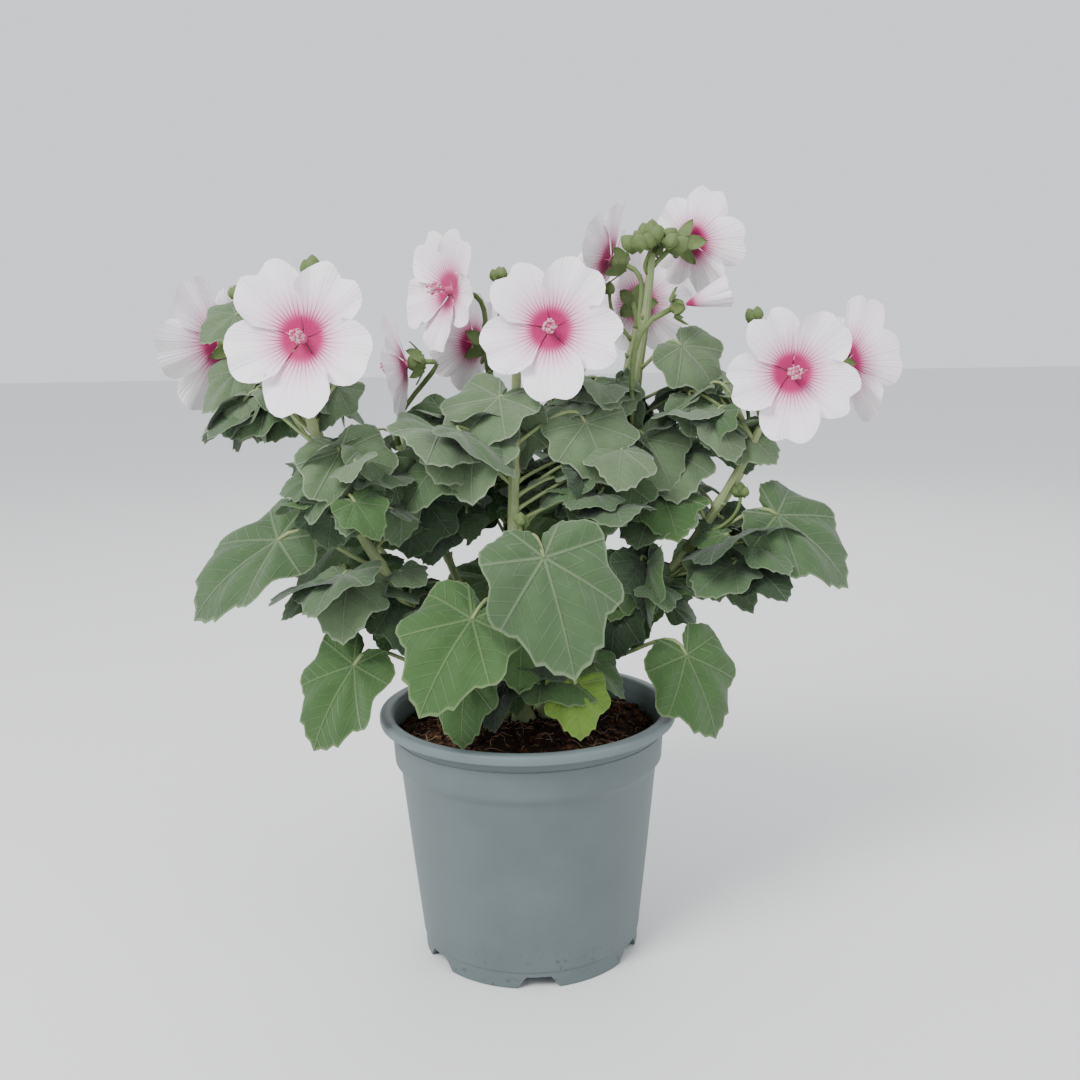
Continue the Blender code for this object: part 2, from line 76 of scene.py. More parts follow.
# Stems: foot, two bend handles, tip, radius at both ends, in millimetres
STEM_FOOT = 103.3
STEMS = {
    "trunk": ((-2, -1), (-8, -14, 140), (-4, -36, 200), (-2, -9, 254), 3.1, 1.9),
    "stem_left": ((-11, 2), (-32, -9, 128), (-78, -34, 196), (-87, -24, 249), 2.9, 1.8),
    "stem_right": ((8, 2), (30, 1, 132), (80, 1, 178), (100, -3, 230), 2.9, 1.8),
    "stem_tall": ((6, 11), (26, 13, 150), (51, 24, 220), (56, 14, 303), 3.0, 1.7),
    "stem_mid_left": ((-9, 11), (-22, 17, 140), (-42, 37, 185), (-57, 33, 222), 2.3, 1.4),
    "stem_mid": ((-1, 16), (-9, 26, 150), (-7, 34, 210), (-16, 40, 258), 2.3, 1.4),
    "stem_back_left": ((-9, 20), (-32, 36, 124), (-92, 58, 180), (-100, 54, 245), 2.6, 1.5),
    "stem_back": ((1, 24), (6, 44, 140), (16, 68, 205), (12, 60, 252), 2.6, 1.5),
    "stem_back_right": ((10, 19), (34, 38, 124), (92, 56, 170), (114, 46, 232), 2.6, 1.5),
    "stem_mid_right": ((14, 10), (26, 38, 150), (37, 47, 212), (52, 46, 272), 2.2, 1.3),
}

# A stem's rings, flutes, flare, joints, knobs and ribs
STEM_RINGS = 72
STEM_SIDES = 14
STEM_JOINTS = 6
STEM_FLUTES = 0.025
TRUNK_FLARE = 0.9
SIDE_FLARE = 0.36
FLARE_HEIGHT = 3.5
STEM_SUNK = 1.5
JOINT_SWELL = 0.28
JOINT_LENGTH = 0.012
KNOB_RINGS = ((0, 1.0), (1.3, 0.9), (2.8, 0.1))
KNOB_SIDES = 6
RIB_TURN = 60

# Stalks: where they may leave a stem, how far below their target, and how they bend
STALK_STEPS = 9
STALK_SIDES = 7
STALK_BEND = 0.42
STALK_FOOT = 1.5
STALK_PLACES = 30
LOWEST_PLACE = 3
STALK_RISE = 8
RISE_COST = 2.5
FORK_OUT = 0.8
FORK_UP = 0.6

# Blooms: stem, place along it, throat, facing, radius
BLOOMS = {
    "bloom_left": ("stem_left", 1.0, (-84, -37, 270), (-0.12, -1.0, 0.18), 32),
    "bloom_far_left": ("stem_left", 0.93, (-132, 24, 268), (-0.80, 0.55, 0.05), 31),
    "bloom_upper_left": ("stem_mid", 0.97, (-30, 20, 289), (-0.78, -0.60, 0.10), 28),
    "bloom_side_left": ("stem_mid_left", 1.0, (-50, 16, 258), (-0.95, 0.10, -0.12), 24),
    "bloom_front": ("trunk", 1.0, (12, -20, 272), (-0.06, -1.0, 0.16), 30),
    "bloom_upper_back": ("stem_tall", 0.86, (40, 38, 302), (-0.80, 0.38, 0.34), 26),
    "bloom_top_right": ("stem_tall", 0.98, (74, 24, 308), (0.66, 0.72, 0.10), 25),
    "bloom_back_right": ("stem_mid_right", 1.0, (54, 58, 283), (0.30, 0.95, 0.05), 25),
    "bloom_right": ("stem_right", 1.0, (110, -17, 253), (0.02, -1.0, 0.08), 29),
    "bloom_far_right": ("stem_right", 0.93, (138, 6, 256), (0.90, 0.38, 0.02), 28),
    "bloom_mid_back": ("stem_mid", 1.0, (-22, 46, 266), (-0.70, 0.66, 0.10), 24),
    "bloom_back_far_left": ("stem_back_left", 1.0, (-102, 58, 264), (-0.20, 0.96, 0.15), 26),
    "bloom_back": ("stem_back", 1.0, (13, 70, 266), (0.05, 0.97, 0.22), 25),
    "bloom_back_far_right": ("stem_back_right", 1.0, (122, 56, 246), (0.25, 0.95, 0.12), 24),
}
BUD_OPENING = ("stem_tall", 0.62, (75, 2, 283), (1.0, 0.0, 0.3), 7)

# Petals: number, grid, half angle, then shares of their length or width
PETALS = 5
PETAL_COLUMNS = 18
PETAL_ROWS = 14
PETAL_HALF = math.radians(42)
PETAL_FOOT = 0.05
PETAL_CLAW = 0.72
SHOULDER_DROP = 0.46
NOTCH_WIDTH = 0.17
PETAL_RIPPLE = 0.022
PETAL_OVERLAP = 0.055
PETAL_CURL = 0.06

# How a bloom stands: its cup, half a petal's angle, its calyx's scale, and how far back it sits
OPEN = (0.28, PETAL_HALF, 1.0, 0)
HALF_OPEN = (2.7, PETAL_HALF * 1.1, 0.8, 6)

# Calyx, sepals and column: lengths in millimetres, and each ring as its distance along and its radius
CALYX_RINGS = ((0, 1.4), (1.2, 3.4), (3.2, 4.5), (5.4, 4.0), (7.4, 2.6))
CALYX_SIDES = 12
CALYX_FLUTES = 0.05
CALYX_DEPTH = 8.5
CALYX_SEAT = 8.3
SEPAL_LENGTH = 8.5
SEPAL_WIDTH = 3.0
SEPAL_HEIGHT = 1.5
SEPAL_FOOT = 3.2
SEPAL_OUT = 0.8
SEPAL_RISE = 0.62
SEPAL_HOLLOW = 0.9
SEPAL_COLUMNS = 4
SEPAL_ROWS = 6
COLUMN_RINGS = ((-3, 2.2), (0, 1.9), (3, 1.4), (6, 1.1), (9, 0.9), (10.5, 0.4))
COLUMN_SIDES = 8
STAMENS = 52
STAMEN_BULGE = 7.5
POLLEN_SIZE = (0.62, 0.5, 0.45)
GOLDEN_TURN = 2.4

# Tiles of a piece's own map: the petals' width, and corner, width and height of the rest
PETAL_TILE = 0.6
GREEN_TILE = (0.62, 0.0, 0.36, 0.48)
PINK_TILE = (0.62, 0.5, 0.36, 0.48)
WHOLE_TILE = (0.0, 0.0, 1.0, 1.0)

# Buds: centre, how many, and their length
BUDS = (
    ((56, 13, 312), 14, 9.0), ((-9, 18, 296), 4, 6.5), ((-1, 20, 294), 4, 6.5), ((-119, 5, 290), 4, 6.0),
    ((-106, 5, 292), 4, 6.5), ((-83, -12, 205), 4, 5.5), ((-76, -12, 175), 3, 5.0), ((92, -5, 204), 4, 5.5),
    ((71, -2, 179), 3, 5.0), ((-1, -34, 198), 4, 5.0), ((-87, 8, 300), 2, 8.5), ((102, 18, 277), 2, 8.0),
    ((14, 62, 292), 4, 5.5), ((-98, 52, 288), 3, 5.5), ((112, 48, 272), 3, 5.5), ((40, 48, 290), 3, 5.5),
)
BUD_STEPS = 9
BUD_SIDES = 15
BUD_FLUTES = 0.06
BUD_WIDTH = 0.40
BUD_POINT = 0.05
BUD_LOBES = 3
LOBE_SIDES = 6
LOBE_FOOT = 0.34
LOBE_RINGS = ((0, 0, 0.1), (0.9, 0.1, 0.09), (1.25, 0.4, 0.0))
BUD_ROOM = 0.36

# Leaves that stand alone: kind, junction, tip, the upper side's way, breadth
LONE_LEAVES = {
    "leaf_front": ("grey", (8, -62, 187), (20, -83, 148), (0.1, -0.85, 0.45), 0.94),
    "leaf_front_left": ("green", (-20, -60, 163), (-41, -83, 138), (-0.2, -0.8, 0.5), 0.95),
    "leaf_outer_left": ("grey", (-103, -14, 187), (-146, -20, 163), (-0.1, -0.6, 0.8), 0.66),
    "leaf_outer_right": ("grey", (107, -8, 193), (142, -16, 170), (0.2, -0.7, 0.7), 0.72),
    "leaf_low_left": ("green", (-72, -24, 135), (-94, -33, 103), (-0.4, -0.8, 0.3), 0.8),
    "leaf_low_right": ("green", (67, -24, 137), (83, -32, 104), (0.3, -0.8, 0.3), 0.88),
    "leaf_low_back": ("green", (-18, 66, 152), (-30, 83, 120), (-0.1, 0.8, 0.4), 0.95),
    "leaf_back_outer_left": ("grey", (-86, 70, 176), (-116, 78, 152), (-0.4, 0.7, 0.6), 0.8),
    "leaf_back_outer_right": ("grey", (88, 70, 164), (116, 78, 140), (0.4, 0.7, 0.6), 0.8),
    "leaf_soil_left": ("green", (-24, -40, 134), (-28, -56, 112), (-0.2, -0.7, 0.3), 0.9),
    "leaf_soil_right": ("bright", (20, -40, 130), (22, -54, 113), (0.1, -0.8, 0.4), 0.95),
}

# Leaves seen inside the masses: kind, junction, tip, breadth. The dark kind here is painted shade, for
# leaves in shadow inside the masses.
SEEN_LEAVES = (
    ("pale", (-72, -35, 226), (-60, -45, 202), 1.1), ("dark", (-42, -8, 203), (-50, -20, 182), 1.2),
    ("dark", (-38, 8, 197), (-46, 2, 180), 1.2), ("pale", (-9, -18, 245), (-30, -36, 228), 1.0),
    ("grey", (-34, 16, 236), (-52, 8, 224), 1.0), ("pale", (26, -14, 234), (36, -28, 214), 1.25),
    ("pale", (52, -2, 226), (64, -12, 208), 1.2), ("grey", (33, -4, 214), (30, -24, 192), 1.3),
    ("pale", (68, 6, 264), (84, -2, 248), 1.1), ("pale", (72, 2, 242), (88, -6, 226), 1.0),
    ("dark", (86, 2, 190), (98, -6, 176), 1.2), ("grey", (78, -4, 174), (84, -12, 158), 1.0),
    ("grey", (44, -6, 174), (52, -18, 154), 1.2), ("green", (-1, -34, 152), (-3, -50, 132), 1.0),
    ("green", (-56, -8, 166), (-64, -20, 147), 1.0), ("pale", (-122, 10, 256), (-140, 6, 242), 1.0),
    ("pale", (-118, -2, 280), (-134, -8, 273), 1.0), ("grey", (-100, 6, 244), (-114, 0, 230), 1.1),
    ("pale", (-76, -12, 250), (-84, -26, 236), 1.0), ("bright", (8, -30, 168), (14, -44, 156), 0.9),
)

# A leaf's outline: degrees from the tip, and reach as a part of its length
LEAF_OUTLINE = (
    (0, 1.0), (18, 0.88), (34, 0.72), (54, 0.77), (76, 0.57), (102, 0.58), (134, 0.42), (162, 0.25),
    (176, 0.07),
)
LEAF_REACH = math.radians(174)
LEAF_TEETH = 34
LEAF_COLUMNS = 68
LEAF_ROWS = 6
LEAF_MAP_FOOT = 0.7
TOOTH_DEPTH = 0.045
QUILT = 0.075
RIM_DROOP = 0.10
TIP_BEND = 0.18

# Leaf veins and rim: the angle between veins, and widths as parts of the leaf's length
VEIN_STEP = math.radians(47)
VEIN_WIDTH = 0.008
VEIN_TAPER = 0.008
VEIN_SOFT = 0.014
SIDE_VEINS = 7.5
SIDE_VEIN_LEAN = 0.85
RIM_START = 0.955

# Seeded leaves: up to these heights they are of the low kinds, then of the middle kinds. The dark kind
# among them is painted shade.
LOW_LEAVES = 165
MIDDLE_LEAVES = 215
LOW_KINDS = ("green", "green", "grey", "dark")
MIDDLE_KINDS = ("grey", "grey", "green", "pale", "dark")
HIGH_KINDS = ("pale", "pale", "grey")

# The pot: lengths in millimetres, its first notch's turn in degrees
RIM_RADIUS = 65.0
POT_HEIGHT = 108.7
LIP_HEIGHT = 4.3
COLLAR_TOP = 59.9
COLLAR_FOOT = 58.8
COLLAR_HEIGHT = 87.5
BODY_TOP = 56.4
FOOT_RADIUS = 47.8
WALL = 1.5
FOOT_RING = 2.4
FLOOR_LOW = 5.6
FOOT_LINE = 7.6
WAIST_RADIUS = 52.5
WAIST_HEIGHT = 45
STEP_DROP = 4.2
COLLAR_SWELL = 89.6
GROOVE_RADIUS = 59.25
GROOVE_FOOT = 99.7
GROOVE_TOP = 100.7
EASE = 0.3
POT_SIDES = 144
SHARP_ANGLE = math.radians(38)
NOTCHES = 6
NOTCH_TURN = -86.3
NOTCH_REACH = (FOOT_RADIUS - 8, FOOT_RADIUS + 4)
NOTCH_FOOT = 10.0
NOTCH_TOP = 5.2
NOTCH_HEIGHT = 5.4
CUT_ROOM = 1.0
DRAIN_RADIUS = 4
DRAIN_PLACE = (34, 0, 7)
DRAIN_DEPTH = 10
DRAIN_SIDES = 32

# Pot finish, in metres: where scuffs fade out over the foot, and where the painted highlight on the lip
# starts
SCUFF_HEIGHT = 0.004
SCUFF_FADE = 0.026
LIP_HIGHLIGHT_HEIGHT = 0.1035
LIP_HIGHLIGHT_FADE = 0.002

# The compost: lengths in millimetres, and where its top and side end on its sheet
SOIL_EDGE = 56.6
SOIL_TOP = 103.0
SOIL_FOOT = 90.0
SOIL_FALL = 4.3
SOIL_FLAT = 24
SOIL_SLOPE = 33
SOIL_COLUMNS = 150
SOIL_ROWS = 60
TOP_SHARE = 0.8
SIDE_SHARE = 0.9
SOIL_TAPER = 0.4
SOIL_SEAM = 0.01
CRUMBS = 1500
FIBRES = 190
FIBRE_STEPS = 5
FIBRE_RADIUS = 0.16
FIBRE_SIDES = 4
SHORTEST_STEP = 0.1

# The camera that matches the photograph
EYE = (0.0066, -0.509, 0.2747)
PITCH = math.radians(10.26)
ROLL = math.radians(-0.93)
LENS = 40
SENSOR = 36
NEAREST = 0.01

# Floor and light: each lamp's place, size and power
FLOOR_HALF = 6.0
FLOOR_COLOUR = (0.78, 0.78, 0.77, 1)
SKY_COLOUR = (0.93, 0.95, 1.0, 1)
SKY_STRENGTH = 1.15
LIGHTS = {
    "key": ((-0.7, -0.9, 1.25), 0.7, 26.0),
    "fill": ((1.0, -0.7, 0.7), 1.1, 3.0),
    "back": ((0.2, 1.1, 1.0), 1.0, 5.0),
}
LIGHT_AIM = (0, 0, 0.18)


class Value:
    """A shader socket that takes part in sums."""

    def __init__(self, sheet, socket):
        self.sheet = sheet
        self.socket = socket

    def math(self, operation, *others):
        inputs = dict(enumerate((self,) + others))
        return self.sheet.node("ShaderNodeMath", {"operation": operation}, inputs)

    def __add__(self, other):
        return self.math("ADD", other)

    __radd__ = __add__

    def __mul__(self, other):
        return self.math("MULTIPLY", other)

    __rmul__ = __mul__

    def __sub__(self, other):
        return self.math("SUBTRACT", other)

    def __rsub__(self, other):
        return (self * -1) + other

    def below(self, edge, soft):
        """1 under edge, 0 over edge + soft, and smooth between."""
        inputs = {"Value": self, "From Min": edge, "From Max": edge + soft, "To Min": 1.0, "To Max": 0.0}
        return self.sheet.node("ShaderNodeMapRange", {"interpolation_type": "SMOOTHSTEP"}, inputs)

    def stripes(self, width, soft):
        """1 on thin lines that lie one unit apart, and 0 between them."""
        return (self.math("FRACT") - 0.5).math("ABSOLUTE").below(width, soft)


class Finish:
    """A material whose nodes are made by expressions."""

    def __init__(self, name, roughness, specular=0.3, sheen=0.0):
        self.material = bpy.data.materials.new(name)
        self.material.use_nodes = True
        self.tree = self.material.node_tree
        self.shader = self.tree.nodes["Principled BSDF"]
        self.set("Roughness", roughness)
        self.set("Specular IOR Level", specular)
        self.set("Sheen Weight", sheen)

    def set(self, socket, value):
        if isinstance(value, Value):
            self.tree.links.new(value.socket, self.shader.inputs[socket])
        else:
            self.shader.inputs[socket].default_value = value

    def node(self, kind, settings=None, inputs=None, out=0):
        made = self.tree.nodes.new(kind)
        for key, value in (settings or {}).items():
            if key == "stops":
                ramp = made.color_ramp.elements
                ramp[0].position, ramp[0].color = value[0]
                ramp[1].position, ramp[1].color = value[-1]
                for position, colour in value[1:-1]:
                    ramp.new(position).color = colour
            else:
                setattr(made, key, value)
        for key, value in (inputs or {}).items():
            if isinstance(value, Value):
                self.tree.links.new(value.socket, made.inputs[key])
            else:
                made.inputs[key].default_value = value
        return Value(self, made.outputs[out])

    def place(self):
        return self.node("ShaderNodeTexCoord", out="Object")

    def noise(self, scale, detail=4.0, roughness=0.6):
        inputs = {"Vector": self.place(), "Scale": scale, "Detail": detail, "Roughness": roughness}
        return self.node("ShaderNodeTexNoise", None, inputs)

    def own_map(self):
        """The two coordinates of the piece's own map."""
        place = self.node("ShaderNodeUVMap", {"uv_map": MAP})
        across = self.node("ShaderNodeSeparateXYZ", None, {0: place})
        return across, Value(self, across.socket.node.outputs[1])

    def ramp(self, factor, *stops):
        opaque = [(position, tuple(colour) + (1,)) for position, colour in stops]
        return self.node("ShaderNodeValToRGB", {"stops": opaque}, {0: factor})

    def mix(self, factor, one, two):
        def colour(value):
            return value if isinstance(value, Value) else tuple(value) + (1,)

        inputs = {0: factor, 6: colour(one), 7: colour(two)}
        return self.node("ShaderNodeMix", {"data_type": "RGBA"}, inputs, out=2)

    def bump(self, height, distance, strength=0.6):
        inputs = {"Height": height, "Distance": distance, "Strength": strength}
        self.set("Normal", self.node("ShaderNodeBump", None, inputs))


def shade(colour, factor):
    """A colour made darker or lighter."""
    return [c * factor for c in colour]


def pot_plastic(colour):
    """Matt blue-grey plastic, a little dusty, with fine scuffs by the foot and a painted highlight on the
    lip.
    """
    finish = Finish("pot_plastic", 0.5, specular=0.4)
    cloud = finish.noise(38.0)
    grain = finish.noise(2600.0, 2.0)
    scuff = finish.noise(330.0, 6.0, 0.75)
    height = finish.node("ShaderNodeSeparateXYZ", None, {0: finish.place()}, out=2)
    marks = scuff.math("GREATER_THAN", 0.61) * height.below(SCUFF_HEIGHT, SCUFF_FADE)
    # Painted highlight: from the lip's foot up, the colour is mixed a third of the way to a copy 1.9 times
    # lighter, as if light fell on the lip
    lip = 1 - height.below(LIP_HIGHLIGHT_HEIGHT, LIP_HIGHLIGHT_FADE)
    body = finish.mix(cloud, shade(colour, 0.86), shade(colour, 1.3))
    body = finish.mix(lip * 0.35, body, [min(1, c) for c in shade(colour, 1.9)])
    finish.set("Base Color", finish.mix(marks * 0.55, body, (0.03, 0.028, 0.025)))
    finish.set("Roughness", cloud * 0.25 + 0.36)
    finish.bump(grain * 0.5 + cloud, 0.0003, 0.35)
    return finish.material


def compost_finish(name, dark, light):
    """Crumbly peat in patches of two colours."""
    finish = Finish(name, 0.95, specular=0.2)
    patches = finish.noise(160.0, 8.0, 0.7)
    fine = finish.noise(1500.0, 5.0)
    finish.set("Base Color", finish.ramp(patches * 0.6 + fine * 0.4, (0.35, dark), (0.62, light)))
    finish.bump(fine + patches, 0.0012, 0.8)
    return finish.material


def stem_finish(colour):
    """Pale green bark with fine lengthwise ribs and pale dots."""
    finish = Finish("green_bark", 0.62, specular=0.35)
    patches = finish.noise(90.0)
    dots = finish.noise(1900.0, 3.0, 0.7)
    across = finish.own_map()[0]
    ribs = (across * RIB_TURN).math("SINE")
    tone = finish.mix(patches, shade(colour, 0.55), shade(colour, 1.35))
    speck = dots.math("GREATER_THAN", 0.63)
    finish.set("Base Color", finish.mix(speck * 0.5, tone, (0.42, 0.44, 0.28)))
    finish.bump(dots + ribs * 0.3, 0.0004, 0.7)
    return finish.material


def leaf_finish(name, colour, vein, rim):
    """Felted leaf: pale palmate veins and their side veins, a thin pale rim, and soft mottling."""
    finish = Finish(name, 0.72, specular=0.25, sheen=0.25)
    u, v = finish.own_map()
    x = u * 2 - LEAF_MAP_FOOT
    y = v * 2 - 1
    reach = (x * x + y * y).math("SQRT")
    angle = y.math("ARCTAN2", x)
    lobe = (angle * (1 / VEIN_STEP)).math("ROUND") * VEIN_STEP
    off = angle - lobe
    along = reach * off.math("COSINE")
    aside = (reach * off.math("SINE")).math("ABSOLUTE")
    main = (aside + reach * VEIN_TAPER).below(VEIN_WIDTH, VEIN_SOFT)
    side = ((along - aside * SIDE_VEIN_LEAN) * SIDE_VEINS).stripes(0.025, 0.05) * aside.below(0.02, 0.5)
    veins = main.math("MAXIMUM", side * 0.55)
    ring = finish.node("ShaderNodeAttribute", {"attribute_name": RING}, out="Fac")
    edge = 1 - ring.below(RIM_START, 0.03)
    patches = finish.noise(120.0)
    felt = finish.noise(2400.0, 2.0)
    cells = finish.noise(700.0, 3.0)
    body = finish.mix(patches, shade(colour, 0.72), shade(colour, 1.28))
    body = finish.mix(cells * 0.35, body, shade(colour, 0.6))
    body = finish.mix(veins * 0.30, body, vein)
    finish.set("Base Color", finish.mix(edge * 0.36, body, rim))
    finish.bump(felt * 0.25 + cells * 0.5 - veins * 1.3, 0.0006, 0.75)
    return finish.material


def petal_finish(colour, eye, vein):
    """White petal with a crimson eye that runs out in fine pink veins."""
    finish = Finish("petal", 0.55, specular=0.3, sheen=0.2)
    u, v = finish.own_map()
    across = u * (2 / PETAL_TILE) - 1
    wander = finish.noise(190.0) * 0.35
    streak = (across * 5.2 + wander).stripes(0.03, 0.16)
    thin = (across * 13 + wander * 2).stripes(0.03, 0.2)
    throat = v.below(0.13, 0.16)
    blaze = (v - streak * 0.12).below(0.17, 0.18)
    far = v.below(0.2, 0.55)
    blush = finish.noise(60.0)
    body = finish.mix(blush, colour, [c * k for c, k in zip(colour, (0.94, 0.86, 0.92))])
    body = finish.mix(v.below(0.15, 0.50) * 0.80, body, vein)
    body = finish.mix(thin * v.below(0.3, 0.6) * 0.2, body, vein)
    body = finish.mix(far * streak * 0.55, body, shade(vein, 0.8))
    body = finish.mix(blaze, body, eye)
    finish.set("Base Color", finish.mix(throat * 0.5, body, shade(eye, 0.7)))
    finish.bump(streak * 0.6 + thin * 0.5, 0.0004, 0.5)
    return finish.material


def plain_finish(name, colour, spread, roughness, scale=500.0):
    """A small part's finish: its colour, mottled, with a fine grain."""
    finish = Finish(name, roughness)
    patches = finish.noise(scale)
    finish.set("Base Color", finish.mix(patches, shade(colour, 1 - spread), shade(colour, 1 + spread)))
    finish.bump(patches, 0.0004, 0.5)
    return finish.material


def sheet(bm, columns, rows, shape, index=0):
    """A grid whose points shape(s, t) places. shape gives the place, the map's place and the ring value."""
    uv = bm.loops.layers.uv.get(MAP) or bm.loops.layers.uv.new(MAP)
    ring = bm.verts.layers.float.get(RING) or bm.verts.layers.float.new(RING)
    verts = bmesh.ops.create_grid(bm, x_segments=columns, y_segments=rows, size=1.0)["verts"]
    places = {}
    for vert in verts:
        vert.co, places[vert], vert[ring] = shape((vert.co.x + 1) / 2, (vert.co.y + 1) / 2)
    faces = {face for vert in verts for face in vert.link_faces}
    for face in faces:
        face.material_index = index
        face.smooth = True
        for loop in face.loops:
            loop[uv].uv = places[loop.vert]
    return verts, faces


def turns_along(centres):
    """A rotation at each point of a path, which never twists about it."""
    ways = [(b - a).normalized() for a, b in zip(centres, centres[1:])]
    ways.append(ways[-1])
    turn = ways[0].to_track_quat("Z", "Y")
    turns = [turn]
    for one, two in zip(ways, ways[1:]):
        turn = one.rotation_difference(two) @ turn
        turns.append(turn)
    return turns


def on_circle(radius, angle, z):
    """A point at height z, which lies radius out from the Z axis."""
    return Vector((radius * math.cos(angle), radius * math.sin(angle), z))


def on_tile(tile, s, t):
    """A place on a tile of the map."""
    return tile[0] + tile[2] * s, tile[1] + tile[3] * t


def tube(bm, centres, radii, sides, index=0, tile=WHOLE_TILE, flutes=0.0):
    """A closed round limb along a path."""
    turns = turns_along(centres)
    last = len(centres) - 1

    def shape(s, t):
        k = round(t * last)
        angle = math.tau * s
        radius = radii[k] * (1 + flutes * math.sin(angle * 5))
        return centres[k] + turns[k] @ on_circle(radius, angle, 0), on_tile(tile, s, t), 0.0

    verts, faces = sheet(bm, sides, last, shape, index)
    bmesh.ops.remove_doubles(bm, verts=verts, dist=SEAM)
    faces = [face for face in faces if face.is_valid]
    rim = list({edge for face in faces for edge in face.edges if edge.is_boundary})
    if rim:
        caps = bmesh.ops.holes_fill(bm, edges=rim, sides=sides)["faces"]
        for cap in caps:
            cap.material_index = index
        faces += caps
    bmesh.ops.recalc_face_normals(bm, faces=faces)


def grain(bm, centre, size, rng, index=0):
    """A small uneven lump."""
    turn = Quaternion([rng.gauss(0, 1) for _ in range(4)]).normalized()
    verts = bmesh.ops.create_icosphere(bm, subdivisions=1, radius=1.0)["verts"]
    for vert in verts:
        wide = Vector(a * b for a, b in zip(vert.co, size)) * rng.uniform(0.75, 1.25)
        vert.co = Vector(centre) + turn @ wide
    for face in {face for vert in verts for face in vert.link_faces}:
        face.material_index = index
        face.smooth = True


def bezier(a, b, c, d, t):
    """A point of the cubic curve from a to d with handles b and c."""
    s = 1 - t
    return a * s**3 + b * 3 * s * s * t + c * 3 * s * t * t + d * t**3


def stem_at(name, t):
    """Centre, direction and radius of a stem."""
    foot, low, high, tip, foot_radius, tip_radius = STEMS[name]
    a, b, c, d = Vector((*foot, STEM_FOOT)), Vector(low), Vector(high), Vector(tip)
    s = 1 - t
    way = ((b - a) * s * s + (c - b) * 2 * s * t + (d - c) * t * t).normalized()
    return bezier(a, b, c, d, t), way, foot_radius + (tip_radius - foot_radius) * t


def stalk(bm, start, way, target, arrival, radii, index=0):
    """A bent stalk that starts inside its stem."""
    target = Vector(target)
    reach = (target - start).length * STALK_BEND
    b = start + way * reach
    c = target - Vector(arrival).normalized() * reach
    places = [i / STALK_STEPS for i in range(STALK_STEPS + 1)]
    centres = [bezier(start, b, c, target, t) for t in places]
    widths = [radii[0] + (radii[1] - radii[0]) * t for t in places]
    widths[0] *= STALK_FOOT
    tube(bm, centres, widths, STALK_SIDES, index, GREEN_TILE)


def stalk_from(name, t, target):
    """Where and how a stalk leaves its stem, from half its radius out, or on from its tip."""
    centre, way, radius = stem_at(name, t)
    if t >= 1:
        return centre - way * 0.5, way
    out = Vector(target) - centre
    square = (out - way * out.dot(way)).normalized()
    return centre + square * radius * 0.5, (square * FORK_OUT + way * FORK_UP).normalized()


def nearest_stem(target):
    """The stem and place that a stalk to target leaves from: near it, and a little below."""
    best = None
    for name in STEMS:
        for i in range(LOWEST_PLACE, STALK_PLACES):
            t = i / STALK_PLACES
            centre = stem_at(name, t)[0]
            rise = target.z - centre.z
            cost = (target - centre).length + max(0.0, STALK_RISE - rise) * RISE_COST
            if best is None or cost < best[0]:
                best = (cost, name, t)
    return best[1], best[2]


def new_object(name, bm, scale=MM):
    """A bmesh, in millimetres unless a scale is given, as an object of the scene."""
    bmesh.ops.transform(bm, matrix=Matrix.Scale(scale, 4), verts=bm.verts)
    mesh = bpy.data.meshes.new(name)
    bm.to_mesh(mesh)
    bm.free()
    made = bpy.data.objects.new(name, mesh)
    bpy.context.scene.collection.objects.link(made)
    return made


def finish_piece(name, bm, materials, nodes=()):
    """Turns a bmesh in millimetres into a piece that rides on the plant's body."""
    piece = new_object(name, bm)
    for material in materials:
        piece.data.materials.append(material)
    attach(piece, "root")
    if nodes:
        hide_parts(*nodes)
    return piece


def leaf_reach(angle):
    """A leaf's outline: its reach at an angle from the tip."""
    degrees = abs(math.degrees(angle))
    for (a, low), (b, high) in zip(LEAF_OUTLINE, LEAF_OUTLINE[1:]):
        if degrees <= b:
            part = (degrees - a) / (b - a)
            return low + (high - low) * (1 - math.cos(math.pi * part)) / 2
    return LEAF_OUTLINE[-1][1]


def leaf(bm, junction, tip, upper, breadth, rng):
    """One palmate, scalloped blade that is quilted between its veins and droops to its rim."""
    along = tip - junction
    length = along.length
    along.normalize()
    upper = Vector(upper)
    upper = (upper - along * upper.dot(along)).normalized()
    across = upper.cross(along)
    cup = rng.uniform(-0.12, 0.2)
    wave = rng.uniform(0.03, 0.075)
    phase = rng.uniform(0, math.tau)
    lean = rng.uniform(-0.12, 0.12)

    def shape(s, t):
        angle = (s * 2 - 1) * LEAF_REACH
        tooth = 1 + TOOTH_DEPTH * t * (abs(math.cos(angle * LEAF_TEETH / 2)) - 0.6)
        reach = leaf_reach(angle) * tooth * t
        x, y = reach * math.cos(angle), reach * math.sin(angle)
        quilt = (1 - math.cos(math.tau * angle / VEIN_STEP)) / 2
        z = QUILT * quilt * math.sin(math.pi * min(t * 0.9, 1)) * min(1, reach * 2)
        z += wave * math.sin(angle * 4 + phase) * t**3 - RIM_DROOP * t**2.5 * reach
        z += cup * y * y - TIP_BEND * max(x, 0) ** 2 + lean * y
        place = junction + (along * x + across * y * breadth + upper * z) * length
        return place, ((x + LEAF_MAP_FOOT) / 2, (y + 1) / 2), t

    verts = sheet(bm, LEAF_COLUMNS, LEAF_ROWS, shape)[0]
    bmesh.ops.remove_doubles(bm, verts=verts, dist=SEAM)


